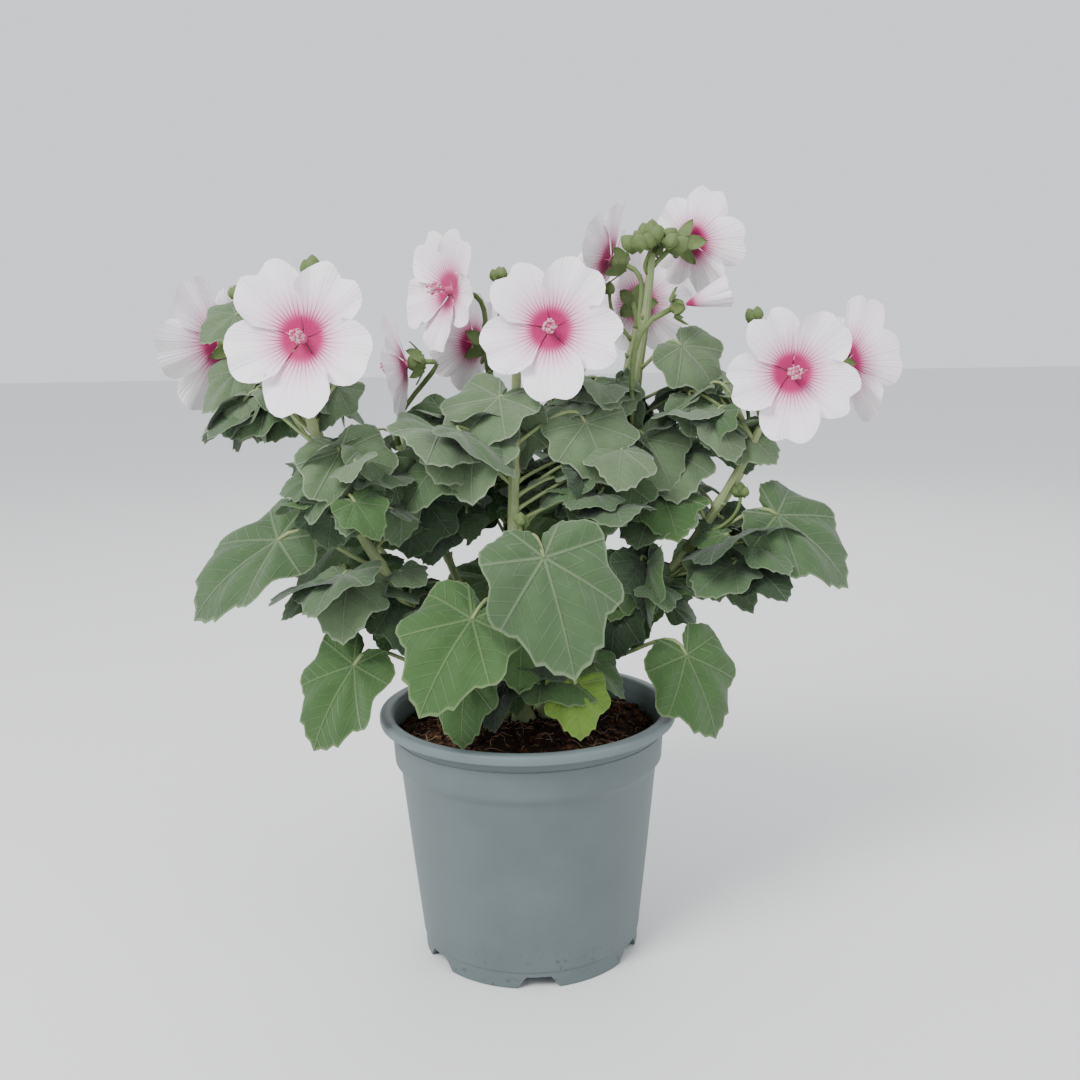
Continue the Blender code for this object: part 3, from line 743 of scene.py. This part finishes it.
def petal(bm, throat, turn, centre, radius, cup, half_angle, rng):
    """One notched petal of a bloom, wavy at its rim, with one side under its neighbour."""
    waves = [(rng.uniform(2.2, 4.2), rng.uniform(0, math.tau)) for _ in range(2)]
    size = radius * rng.uniform(0.95, 1.03)
    notch = rng.uniform(0.06, 0.15)

    def shape(s, t):
        x = s * 2 - 1
        spread = half_angle * (PETAL_CLAW + (1 - PETAL_CLAW) * math.sin(math.pi / 2 * min(1, t * 1.6)))
        angle = centre + x * spread
        edge = 1 - SHOULDER_DROP * abs(x) ** 2.5 - notch * math.exp(-((x / NOTCH_WIDTH) ** 2))
        out = size * (PETAL_FOOT + (1 - PETAL_FOOT) * t * (1 + (edge - 1) * t * t))
        ripple = sum(math.sin(k * x * math.pi + p) for k, p in waves) * PETAL_RIPPLE * t**2.2
        rise = cup * t**1.25 + ripple + PETAL_OVERLAP * x * t - PETAL_CURL * t**5
        return throat + turn @ on_circle(out, angle, size * rise), (PETAL_TILE * s, t), t

    sheet(bm, PETAL_COLUMNS, PETAL_ROWS, shape)


def sepal(bm, base, turn, angle, length, width):
    """One pointed lobe of the calyx."""

    def shape(s, t):
        side = s * 2 - 1
        x = side * width * (1 - t) ** 0.75 * (1 + 1.2 * t)
        out = SEPAL_FOOT + length * t * SEPAL_OUT
        rise = length * SEPAL_RISE * t - SEPAL_HOLLOW * side**2
        spot = Matrix.Rotation(angle, 3, "Z") @ Vector((out, x, rise))
        return base + turn @ spot, on_tile(GREEN_TILE, s, t), t

    verts = sheet(bm, SEPAL_COLUMNS, SEPAL_ROWS, shape, 1)[0]
    bmesh.ops.remove_doubles(bm, verts=verts, dist=SEAM)


def calyx(bm, throat, turn, facing, scale):
    """The cup behind the petals with its five lobes."""
    base = throat - facing * CALYX_DEPTH * scale
    centres = [base + facing * far * scale for far, _ in CALYX_RINGS]
    radii = [radius * scale for _, radius in CALYX_RINGS]
    tube(bm, centres, radii, CALYX_SIDES, 1, GREEN_TILE, CALYX_FLUTES)
    foot = base + facing * SEPAL_HEIGHT * scale
    for k in range(PETALS):
        sepal(bm, foot, turn, math.tau * (k + 0.5) / PETALS, SEPAL_LENGTH * scale, SEPAL_WIDTH * scale)


def column(bm, throat, turn, facing, rng):
    """The staminal column: a pink stalk with a brush of pollen heads."""
    centres = [throat + facing * far for far, _ in COLUMN_RINGS]
    tube(bm, centres, [radius for _, radius in COLUMN_RINGS], COLUMN_SIDES, 2, PINK_TILE)
    for k in range(STAMENS):
        height = rng.uniform(4.2, 11.5)
        angle = k * GOLDEN_TURN
        out = rng.uniform(1.4, 2.9) * (1.1 - abs(height - STAMEN_BULGE) * 0.11)
        grain(bm, throat + turn @ on_circle(out, angle, height), POLLEN_SIZE, rng, 3 if k % 3 else 2)


def bud(bm, centre, way, length, rng):
    """A pointed green bud, five-ribbed, in a short collar of three lobes."""
    way = Vector(way).normalized()
    foot = Vector(centre) - way * length / 2
    centres = [foot + way * length * i / BUD_STEPS for i in range(BUD_STEPS + 1)]
    swells = [math.sin(math.pi * (i / BUD_STEPS) ** 0.8) ** 0.75 for i in range(BUD_STEPS + 1)]
    radii = [length * BUD_WIDTH * swell + BUD_POINT for swell in swells]
    tube(bm, centres, radii, BUD_SIDES, flutes=BUD_FLUTES)
    turn = way.to_track_quat("Z", "Y")
    for k in range(BUD_LOBES):
        angle = math.tau * k / BUD_LOBES + rng.uniform(0, 0.6)
        out = turn @ on_circle(1, angle, 0)
        spots = [foot + out * length * LOBE_FOOT * a + way * length * b for a, b, _ in LOBE_RINGS]
        tube(bm, spots, [max(length * radius, BUD_POINT) for _, _, radius in LOBE_RINGS], LOBE_SIDES)


def turned(profile, sides):
    """A closed body turned about Z, as a bmesh."""
    bm = bmesh.new()
    verts = [bm.verts.new((r, 0, z)) for r, z in profile]
    edges = [bm.edges.new(pair) for pair in zip(verts, verts[1:])]
    bmesh.ops.spin(
        bm, geom=verts + edges, cent=(0, 0, 0), axis=(0, 0, 1), angle=math.tau, steps=sides, use_merge=True
    )
    bmesh.ops.remove_doubles(bm, verts=bm.verts, dist=SEAM)
    bmesh.ops.recalc_face_normals(bm, faces=bm.faces)
    return bm


class MallowSettings(bpy.types.PropertyGroup):
    """What a user would change"""

    leaves_per_mass: bpy.props.IntProperty(
        name="Leaves per mass", description="Seeded leaves in each mass of foliage", default=14, min=0
    )
    leaf_length: bpy.props.FloatProperty(
        name="Leaf length", description="Middle length of a seeded leaf", default=0.0245, unit="LENGTH"
    )
    pot_colour: bpy.props.FloatVectorProperty(
        name="Pot colour", description="The plastic", default=(0.092, 0.120, 0.122), subtype="COLOR"
    )
    stem_colour: bpy.props.FloatVectorProperty(
        name="Stem colour", description="The green bark", default=(0.25, 0.31, 0.14), subtype="COLOR"
    )
    petal_colour: bpy.props.FloatVectorProperty(
        name="Petal colour", description="The open petal", default=(0.95, 0.925, 0.94), subtype="COLOR"
    )
    eye_colour: bpy.props.FloatVectorProperty(
        name="Eye colour", description="The crimson eye", default=(0.50, 0.012, 0.14), subtype="COLOR"
    )
    vein_colour: bpy.props.FloatVectorProperty(
        name="Petal vein colour", description="The pink veins", default=(0.78, 0.20, 0.46), subtype="COLOR"
    )


# Leaf kinds: blade, vein and rim colours
LEAF_KINDS = {
    "green": ((0.046, 0.108, 0.027), (0.20, 0.29, 0.12), (0.22, 0.29, 0.14)),
    "grey": ((0.060, 0.114, 0.045), (0.24, 0.31, 0.18), (0.27, 0.33, 0.21)),
    "pale": ((0.100, 0.160, 0.075), (0.30, 0.36, 0.24), (0.34, 0.39, 0.28)),
    # dark: painted shade, the green leaf darkened for leaves that lie in shadow
    "dark": ((0.024, 0.053, 0.019), (0.10, 0.16, 0.08), (0.12, 0.17, 0.09)),
    "bright": ((0.130, 0.240, 0.030), (0.30, 0.42, 0.12), (0.26, 0.36, 0.10)),
}


def pot_outside():
    """The pot's section from the middle of its underside to the top of its lip, with eased corners."""
    lip_foot = POT_HEIGHT - LIP_HEIGHT
    step_foot = COLLAR_HEIGHT - STEP_DROP
    ring = FOOT_RADIUS - FOOT_RING
    foot = [
        (0, FLOOR_LOW), (ring - 0.2, FLOOR_LOW), (ring, FLOOR_LOW - EASE), (ring, EASE), (ring + EASE, 0),
        (FOOT_RADIUS - 0.4, 0), (FOOT_RADIUS, 0.4), (FOOT_RADIUS + 0.3, FOOT_LINE),
        (FOOT_RADIUS + 0.8, FOOT_LINE + EASE), (FOOT_RADIUS + 0.9, FOOT_LINE + 1.0),
    ]
    step = [
        (WAIST_RADIUS, WAIST_HEIGHT), (BODY_TOP - 0.1, step_foot), (BODY_TOP + 0.7, step_foot + 1.6),
        (COLLAR_FOOT - 0.6, COLLAR_HEIGHT - 0.8), (COLLAR_FOOT, COLLAR_HEIGHT),
    ]
    collar = [
        (COLLAR_FOOT + 0.15, COLLAR_SWELL), (GROOVE_RADIUS + EASE, GROOVE_FOOT),
        (GROOVE_RADIUS, GROOVE_FOOT + EASE), (GROOVE_RADIUS, GROOVE_TOP - EASE),
        (GROOVE_RADIUS + 0.35, GROOVE_TOP), (COLLAR_TOP - 0.2, lip_foot - 0.8),
    ]
    lip = [
        (COLLAR_TOP + 0.5, lip_foot), (RIM_RADIUS - 0.8, lip_foot), (RIM_RADIUS - 0.2, lip_foot + 0.4),
        (RIM_RADIUS, lip_foot + 1.1), (RIM_RADIUS, POT_HEIGHT - 1.3), (RIM_RADIUS - EASE, POT_HEIGHT - 0.5),
        (RIM_RADIUS - 1.1, POT_HEIGHT),
    ]
    return foot + step + collar + lip


def pot_inside():
    """The pot's section from the top of its lip down its inner wall to the middle of its floor."""
    step_foot = COLLAR_HEIGHT - STEP_DROP
    floor = FLOOR_LOW + WALL
    return [
        (COLLAR_TOP + 1.0, POT_HEIGHT), (COLLAR_TOP - 0.4, POT_HEIGHT - 0.6),
        (COLLAR_TOP - WALL, POT_HEIGHT - 2.6), (COLLAR_FOOT - WALL, COLLAR_HEIGHT + 0.6),
        (BODY_TOP - WALL, step_foot + 0.6), (FOOT_RADIUS - WALL, floor), (0, floor),
    ]


class MALLOW_OT_pot(bpy.types.Operator):
    """Turns the nursery pot with its lip, collar line, foot notches and drain holes"""

    bl_idname = "mallow.pot"
    bl_label = "Pot"

    def execute(self, context):
        finish = pot_plastic(context.scene.mallow.pot_colour)
        bm = turned(pot_outside() + pot_inside(), POT_SIDES)
        shell = finish_piece("pot_shell", bm, [finish], ["pot"])
        for k in range(NOTCHES):
            turn = Matrix.Rotation(math.radians(NOTCH_TURN + 360 * k / NOTCHES), 4, "Z")
            self.cut(shell, new_object("cutter", self.notch(turn)))
            self.cut(shell, new_object("cutter", self.drain(turn)))
        shell.data.shade_smooth()
        shell.data.set_sharp_from_angle(angle=SHARP_ANGLE)
        return {"FINISHED"}

    def notch(self, turn):
        """A wedge through the foot ring that narrows upwards."""
        near, far = NOTCH_REACH
        bm = bmesh.new()
        bmesh.ops.create_cube(bm, size=1.0)
        for vert in bm.verts:
            x = near if vert.co.x < 0 else far
            wide = NOTCH_FOOT if vert.co.z < 0 else NOTCH_TOP
            z = -CUT_ROOM if vert.co.z < 0 else NOTCH_HEIGHT
            vert.co = turn @ Vector((x, math.copysign(wide, vert.co.y), z))
        return bm

    def drain(self, turn):
        """A round bar through the floor."""
        bm = bmesh.new()
        bmesh.ops.create_cone(
            bm, cap_ends=True, segments=DRAIN_SIDES, radius1=DRAIN_RADIUS, radius2=DRAIN_RADIUS,
            depth=DRAIN_DEPTH, matrix=turn @ Matrix.Translation(DRAIN_PLACE),
        )
        return bm

    def cut(self, shell, cutter):
        """Cuts the shell for good and removes the cutter."""
        modifier = shell.modifiers.new("Cut", "BOOLEAN")
        modifier.operation = "DIFFERENCE"
        modifier.object = cutter
        graph = bpy.context.evaluated_depsgraph_get()
        mesh = bpy.data.meshes.new_from_object(shell.evaluated_get(graph))
        shell.modifiers.clear()
        shell.data = mesh
        bpy.data.objects.remove(cutter)


def soil_top(radius, angle):
    """Height of the compost's surface, which is heaped in the middle."""
    base = SOIL_TOP - SOIL_FALL * max(0.0, (radius - SOIL_FLAT) / SOIL_SLOPE) ** 1.3
    spot = on_circle(radius, angle, 0)
    return base + 1.3 * noise.noise(spot * 0.16) + 0.7 * noise.noise(spot * 0.5) - 0.5


class MALLOW_OT_compost(bpy.types.Operator):
    """Heaps the compost, with its crumbs and fibres"""

    bl_idname = "mallow.compost"
    bl_label = "Compost"

    def execute(self, context):
        rng = random.Random(11)
        self.bed()
        self.crumbs(rng)
        self.fibres(rng)
        return {"FINISHED"}

    def bed(self):
        """The compost itself: a rough top, a short side and a flat underside."""

        def shape(s, t):
            angle = math.tau * s
            if t <= TOP_SHARE:
                radius = SOIL_EDGE * t / TOP_SHARE
                z = soil_top(radius, angle) + 0.5 * noise.noise(on_circle(radius, angle, 9) * 1.4)
            else:
                radius = SOIL_EDGE * (1 - t) / (1 - TOP_SHARE) if t > SIDE_SHARE else SOIL_EDGE - SOIL_TAPER
                z = SOIL_FOOT
            return on_circle(radius, angle, z), (s, t), t

        bm = bmesh.new()
        verts = sheet(bm, SOIL_COLUMNS, SOIL_ROWS, shape)[0]
        bmesh.ops.remove_doubles(bm, verts=verts, dist=SOIL_SEAM)
        bmesh.ops.recalc_face_normals(bm, faces=bm.faces)
        finish = compost_finish("compost_bed", (0.006, 0.004, 0.003), (0.050, 0.024, 0.013))
        finish_piece("compost_bed", bm, [finish], ["soil"])

    def crumbs(self, rng):
        """Lumps of peat, larger and ruddier towards the wall."""
        bm = bmesh.new()
        for _ in range(CRUMBS):
            radius = SOIL_EDGE * 0.985 * math.sqrt(rng.random())
            angle = rng.uniform(0, math.tau)
            size = rng.uniform(0.5, 1.7) * (1.25 if radius > 40 else 0.9)
            spot = on_circle(radius, angle, soil_top(radius, angle) + size * 0.25)
            ruddy = rng.random() < (0.75 if radius > 38 else 0.3)
            sizes = (size, size * rng.uniform(0.5, 0.9), size * rng.uniform(0.4, 0.8))
            grain(bm, spot, sizes, rng, int(ruddy))
        finishes = [
            compost_finish("compost_dark", (0.005, 0.004, 0.003), (0.03, 0.018, 0.012)),
            compost_finish("compost_ruddy", (0.035, 0.014, 0.007), (0.14, 0.065, 0.032)),
        ]
        finish_piece("compost_crumbs", bm, finishes)

    def fibres(self, rng):
        """Bent threads that lie on the crumbs, inside the wall."""
        bm = bmesh.new()
        room = SOIL_EDGE - 1
        for _ in range(FIBRES):
            radius = SOIL_EDGE * 0.95 * math.sqrt(rng.random())
            angle = rng.uniform(0, math.tau)
            way = rng.uniform(0, math.tau)
            length = rng.uniform(3, 10)
            bend = rng.uniform(-0.8, 0.8)
            centres = []
            for i in range(FIBRE_STEPS + 1):
                turned_way = way + bend * i / FIBRE_STEPS
                reach = length * i / FIBRE_STEPS
                x = radius * math.cos(angle) + reach * math.cos(turned_way)
                y = radius * math.sin(angle) + reach * math.sin(turned_way)
                far = math.hypot(x, y)
                if far > room:
                    x, y = x * room / far, y * room / far
                lift = soil_top(math.hypot(x, y), math.atan2(y, x)) + 0.9 + 0.5 * math.sin(i)
                centres.append(Vector((x, y, lift)))
            if min((a - b).length for a, b in zip(centres, centres[1:])) > SHORTEST_STEP:
                tube(bm, centres, [FIBRE_RADIUS] * len(centres), FIBRE_SIDES)
        finish = plain_finish("compost_fibre", (0.32, 0.21, 0.12), 0.35, 0.9)
        finish_piece("compost_fibres", bm, [finish])


class MALLOW_OT_stems(bpy.types.Operator):
    """Grows the trunk and the stems, with swollen joints and a flare on the compost"""

    bl_idname = "mallow.stems"
    bl_label = "Stems"

    def execute(self, context):
        finish = stem_finish(context.scene.mallow.stem_colour)
        for order, name in enumerate(STEMS):
            rng = random.Random(order)
            joints = [(k + rng.uniform(0.3, 0.8)) / STEM_JOINTS for k in range(STEM_JOINTS)]
            bm = bmesh.new()
            self.limb(bm, name, order, joints)
            for joint in joints:
                self.knob(bm, name, joint, rng.uniform(0, math.tau))
            finish_piece(name + "_bark", bm, [finish], [name])
        return {"FINISHED"}

    def limb(self, bm, name, order, joints):
        """The stem itself, sunk a little into the compost."""
        flare = TRUNK_FLARE if name == "trunk" else SIDE_FLARE
        centres, radii = [], []
        for i in range(STEM_RINGS + 1):
            t = i / STEM_RINGS
            centre, _, radius = stem_at(name, t)
            radius *= 1 + flare * math.exp(-(centre.z - STEM_FOOT) / FLARE_HEIGHT)
            radius *= 1 + sum(JOINT_SWELL * math.exp(-(((t - j) / JOINT_LENGTH) ** 2)) for j in joints)
            radius *= 1 + 0.06 * noise.noise(Vector((t * 30, order, 0)))
            centres.append(centre)
            radii.append(radius)
        centres[0].z = STEM_FOOT - STEM_SUNK
        tube(bm, centres, radii, STEM_SIDES, flutes=STEM_FLUTES)

    def knob(self, bm, name, t, angle):
        """The stub of a dropped leaf at a joint."""
        centre, way, radius = stem_at(name, t)
        out = way.to_track_quat("Z", "Y") @ on_circle(1, angle, 0)
        spots = [centre + out * radius * 0.8 + (way * 0.6 + out) * far for far, _ in KNOB_RINGS]
        tube(bm, spots, [width for _, width in KNOB_RINGS], KNOB_SIDES)


class MALLOW_OT_blooms(bpy.types.Operator):
    """Opens each bloom: petals, calyx, stalk and the column of stamens"""

    bl_idname = "mallow.blooms"
    bl_label = "Blooms"

    def execute(self, context):
        mallow = context.scene.mallow
        self.finishes = [
            petal_finish(mallow.petal_colour, mallow.eye_colour, mallow.vein_colour),
            plain_finish("calyx", (0.125, 0.18, 0.062), 0.3, 0.65),
            plain_finish("column", (0.58, 0.14, 0.27), 0.25, 0.6),
            plain_finish("pollen", (0.66, 0.40, 0.44), 0.25, 0.7),
        ]
        for order, (name, row) in enumerate(BLOOMS.items()):
            self.bloom(name, row, OPEN, random.Random(100 + order))
        self.bloom("bud_half_open", BUD_OPENING, HALF_OPEN, random.Random(77))
        return {"FINISHED"}

    def bloom(self, name, row, stand, rng):
        """One flower on its stalk. Only an open one has a column."""
        carrier, t, throat, facing, radius = row
        cup, half_angle, scale, back = stand
        facing = Vector(facing).normalized()
        throat = Vector(throat) - facing * back
        turn = facing.to_track_quat("Z", "Y")
        spin = rng.uniform(0, math.tau)
        bm = bmesh.new()
        for k in range(PETALS):
            petal(bm, throat, turn, spin + math.tau * k / PETALS, radius, cup, half_angle, rng)
        calyx(bm, throat, turn, facing, scale)
        if stand is OPEN:
            column(bm, throat, turn, facing, rng)
        base = throat - facing * CALYX_SEAT * scale
        start, way = stalk_from(carrier, t, base)
        stalk(bm, start, way, base, facing, (1.1, 1.2), 1)
        finish_piece(name + "_flower", bm, self.finishes, [name])


class MALLOW_OT_buds(bpy.types.Operator):
    """Sets the heads of green buds on their stalks"""

    bl_idname = "mallow.buds"
    bl_label = "Buds"

    def execute(self, context):
        rng = random.Random(5)
        bm = bmesh.new()
        up = Vector((0, 0, 1))
        for centre, count, length in BUDS:
            centre = Vector(centre)
            name, t = nearest_stem(centre - up * 9)
            start, way = stalk_from(name, t, centre)
            stalk(bm, start, way, centre - up * length * 0.5, up, (0.9, 0.8))
            for k in range(count):
                angle = k * GOLDEN_TURN + rng.uniform(0, 0.5)
                out = on_circle(1, angle, 0) * math.sqrt(k)
                spot = centre + out * length * BUD_ROOM + up * (rng.uniform(-1, 1) - 0.5 * k)
                bud(bm, spot, out * 0.4 + up, length * rng.uniform(0.8, 1.1), rng)
        finish = plain_finish("bud", (0.115, 0.165, 0.055), 0.35, 0.65)
        finish_piece("buds_green", bm, [finish], ["bud_head"])
        return {"FINISHED"}


class MALLOW_OT_leaves(bpy.types.Operator):
    """Grows the lone leaves, those seen inside the masses, and seeded ones, each on its stalk"""

    bl_idname = "mallow.leaves"
    bl_label = "Leaves"

    def execute(self, context):
        mallow = context.scene.mallow
        rng = random.Random(2)
        self.stalks = bmesh.new()
        self.meshes = {kind: bmesh.new() for kind in LEAF_KINDS}
        nodes = {kind: [] for kind in LEAF_KINDS}
        for name, (kind, junction, tip, upper, breadth) in LONE_LEAVES.items():
            self.grow(kind, Vector(junction), Vector(tip), Vector(upper), breadth, rng, 1.0)
            nodes[kind].append(name)
        for kind, junction, tip, breadth in SEEN_LEAVES:
            junction, tip = Vector(junction), Vector(tip)
            along = (tip - junction).normalized()
            self.grow(kind, junction, tip, Vector((along.x * 0.4, -0.75, 0.55)), breadth, rng, 0.9)
        for name in sorted(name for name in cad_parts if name.startswith("foliage_")):
            kind = self.fill(name, mallow.leaves_per_mass, mallow.leaf_length / MM, rng)
            nodes[kind].append(name)
        # The dark kind's piece, leaves_dark with its finish leaf_dark, carries painted shade
        for kind, bm in self.meshes.items():
            material = leaf_finish("leaf_" + kind, *LEAF_KINDS[kind])
            finish_piece("leaves_" + kind, bm, [material], nodes[kind])
        finish = plain_finish("leaf_stalk", (0.24, 0.30, 0.13), 0.25, 0.65, 200.0)
        finish_piece("leaf_stalks", self.stalks, [finish])
        return {"FINISHED"}

    def fill(self, name, count, leaf_length, rng):
        """Grows the leaves of one mass, and gives the kind of the last, whose piece stands for the mass."""
        low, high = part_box(name)
        centre, half = (low + high) / 2 / MM, (high - low) / 2 / MM
        kind = self.kind_at(centre.z, rng)
        for _ in range(count):
            kind = self.kind_at(centre.z, rng)
            way = Vector([rng.gauss(0, 1) for _ in range(3)]).normalized()
            spot = centre + Vector(h * w for h, w in zip(half, way)) * rng.uniform(0.1, 1.1) ** 0.6
            drift = Vector((rng.uniform(-0.9, 0.9), rng.uniform(-0.9, 0.9), 0))
            outward = Vector((way.x, way.y, 0)) + drift
            tilt = Vector((rng.uniform(-0.3, 0.3), rng.uniform(-0.5, 0.2), rng.uniform(0.4, 1.0)))
            along = outward + Vector((0, 0, rng.uniform(-1.0, 0.25)))
            length = leaf_length * rng.uniform(0.5, 1.15)
            tip = self.inside(spot + along.normalized() * length)
            if (tip - spot).length > length * 0.5:
                self.grow(kind, spot, tip, outward * 0.6 + tilt, rng.uniform(0.9, 1.25), rng, 0.8)
        return kind

    def inside(self, point):
        """The nearest point in the frame's box."""
        return Vector(min(max(p, a), b) for p, a, b in zip(point, CAD_LOW / MM, CAD_HIGH / MM))

    def kind_at(self, height, rng):
        """Low leaves are greener, high ones paler, and some of the lower ones dark, which is painted shade
        for leaves in shadow.
        """
        if height < LOW_LEAVES:
            return rng.choice(LOW_KINDS)
        if height < MIDDLE_LEAVES:
            return rng.choice(MIDDLE_KINDS)
        return rng.choice(HIGH_KINDS)

    def grow(self, kind, junction, tip, upper, breadth, rng, radius):
        """A blade, and the stalk that carries it from the nearest stem."""
        leaf(self.meshes[kind], junction, tip, upper, breadth, rng)
        name, t = nearest_stem(junction)
        start, way = stalk_from(name, t, junction)
        arrival = (tip - junction).normalized() - upper.normalized() * 0.3
        stalk(self.stalks, start, way, junction, arrival, (radius, radius * 0.8))


class MALLOW_OT_stage(bpy.types.Operator):
    """Sets the pale floor, the soft studio light and the camera"""

    bl_idname = "mallow.stage"
    bl_label = "Stage"

    def execute(self, context):
        self.floor()
        world = bpy.data.worlds.new("studio")
        world.use_nodes = True
        back = world.node_tree.nodes["Background"]
        back.inputs["Color"].default_value = SKY_COLOUR
        back.inputs["Strength"].default_value = SKY_STRENGTH
        context.scene.world = world
        for name, (place, size, power) in LIGHTS.items():
            self.light(context.scene, name, place, size, power)
        self.camera(context.scene)
        return {"FINISHED"}

    def floor(self):
        bm = bmesh.new()
        bmesh.ops.create_grid(bm, x_segments=1, y_segments=1, size=FLOOR_HALF)
        finish = Finish("floor", 0.8)
        finish.set("Base Color", FLOOR_COLOUR)
        floor = new_object("floor", bm, scale=1.0)
        floor.data.materials.append(finish.material)

    def light(self, scene, name, place, size, power):
        data = bpy.data.lights.new(name, "AREA")
        data.shape = "DISK"
        data.size = size
        data.energy = power
        lamp = bpy.data.objects.new(name, data)
        lamp.location = place
        aim = Vector(LIGHT_AIM) - Vector(place)
        lamp.rotation_euler = aim.to_track_quat("-Z", "Y").to_euler()
        scene.collection.objects.link(lamp)

    def camera(self, scene):
        """The camera at EYE, which looks along +Y, pitched down and rolled."""
        data = bpy.data.cameras.new("camera")
        data.sensor_width = SENSOR
        data.lens = LENS
        data.clip_start = NEAREST
        right = Vector((1, 0, 0))
        up = Vector((0, math.sin(PITCH), math.cos(PITCH)))
        ahead = Vector((0, math.cos(PITCH), -math.sin(PITCH)))
        side = right * math.cos(ROLL) + up * math.sin(ROLL)
        top = up * math.cos(ROLL) - right * math.sin(ROLL)
        camera = bpy.data.objects.new("camera", data)
        camera.matrix_world = Matrix.Translation(EYE) @ Matrix((side, top, -ahead)).transposed().to_4x4()
        scene.collection.objects.link(camera)
        scene.camera = camera


class MALLOW_PT_panel(bpy.types.Panel):
    """Lists the settings and the steps"""

    bl_idname = "MALLOW_PT_panel"
    bl_label = "Potted tree mallow"
    bl_space_type = "VIEW_3D"
    bl_region_type = "UI"
    bl_category = "Mallow"

    def draw(self, context):
        for name in MallowSettings.__annotations__:
            self.layout.prop(context.scene.mallow, name)
        for step in STEPS:
            self.layout.operator(step.bl_idname)


STEPS = (
    MALLOW_OT_stage,
    MALLOW_OT_pot,
    MALLOW_OT_compost,
    MALLOW_OT_stems,
    MALLOW_OT_blooms,
    MALLOW_OT_buds,
    MALLOW_OT_leaves,
)
CLASSES = (MallowSettings, *STEPS, MALLOW_PT_panel)


def register():
    for kind in CLASSES:
        bpy.utils.register_class(kind)
    bpy.types.Scene.mallow = bpy.props.PointerProperty(type=MallowSettings)


def unregister():
    del bpy.types.Scene.mallow
    for kind in reversed(CLASSES):
        bpy.utils.unregister_class(kind)


def main():
    register()
    bpy.ops.mallow.stage()
    bpy.ops.mallow.pot()
    bpy.ops.mallow.compost()
    bpy.ops.mallow.stems()
    bpy.ops.mallow.blooms()
    bpy.ops.mallow.buds()
    bpy.ops.mallow.leaves()
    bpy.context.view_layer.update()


if __name__ == "__main__":
    main()
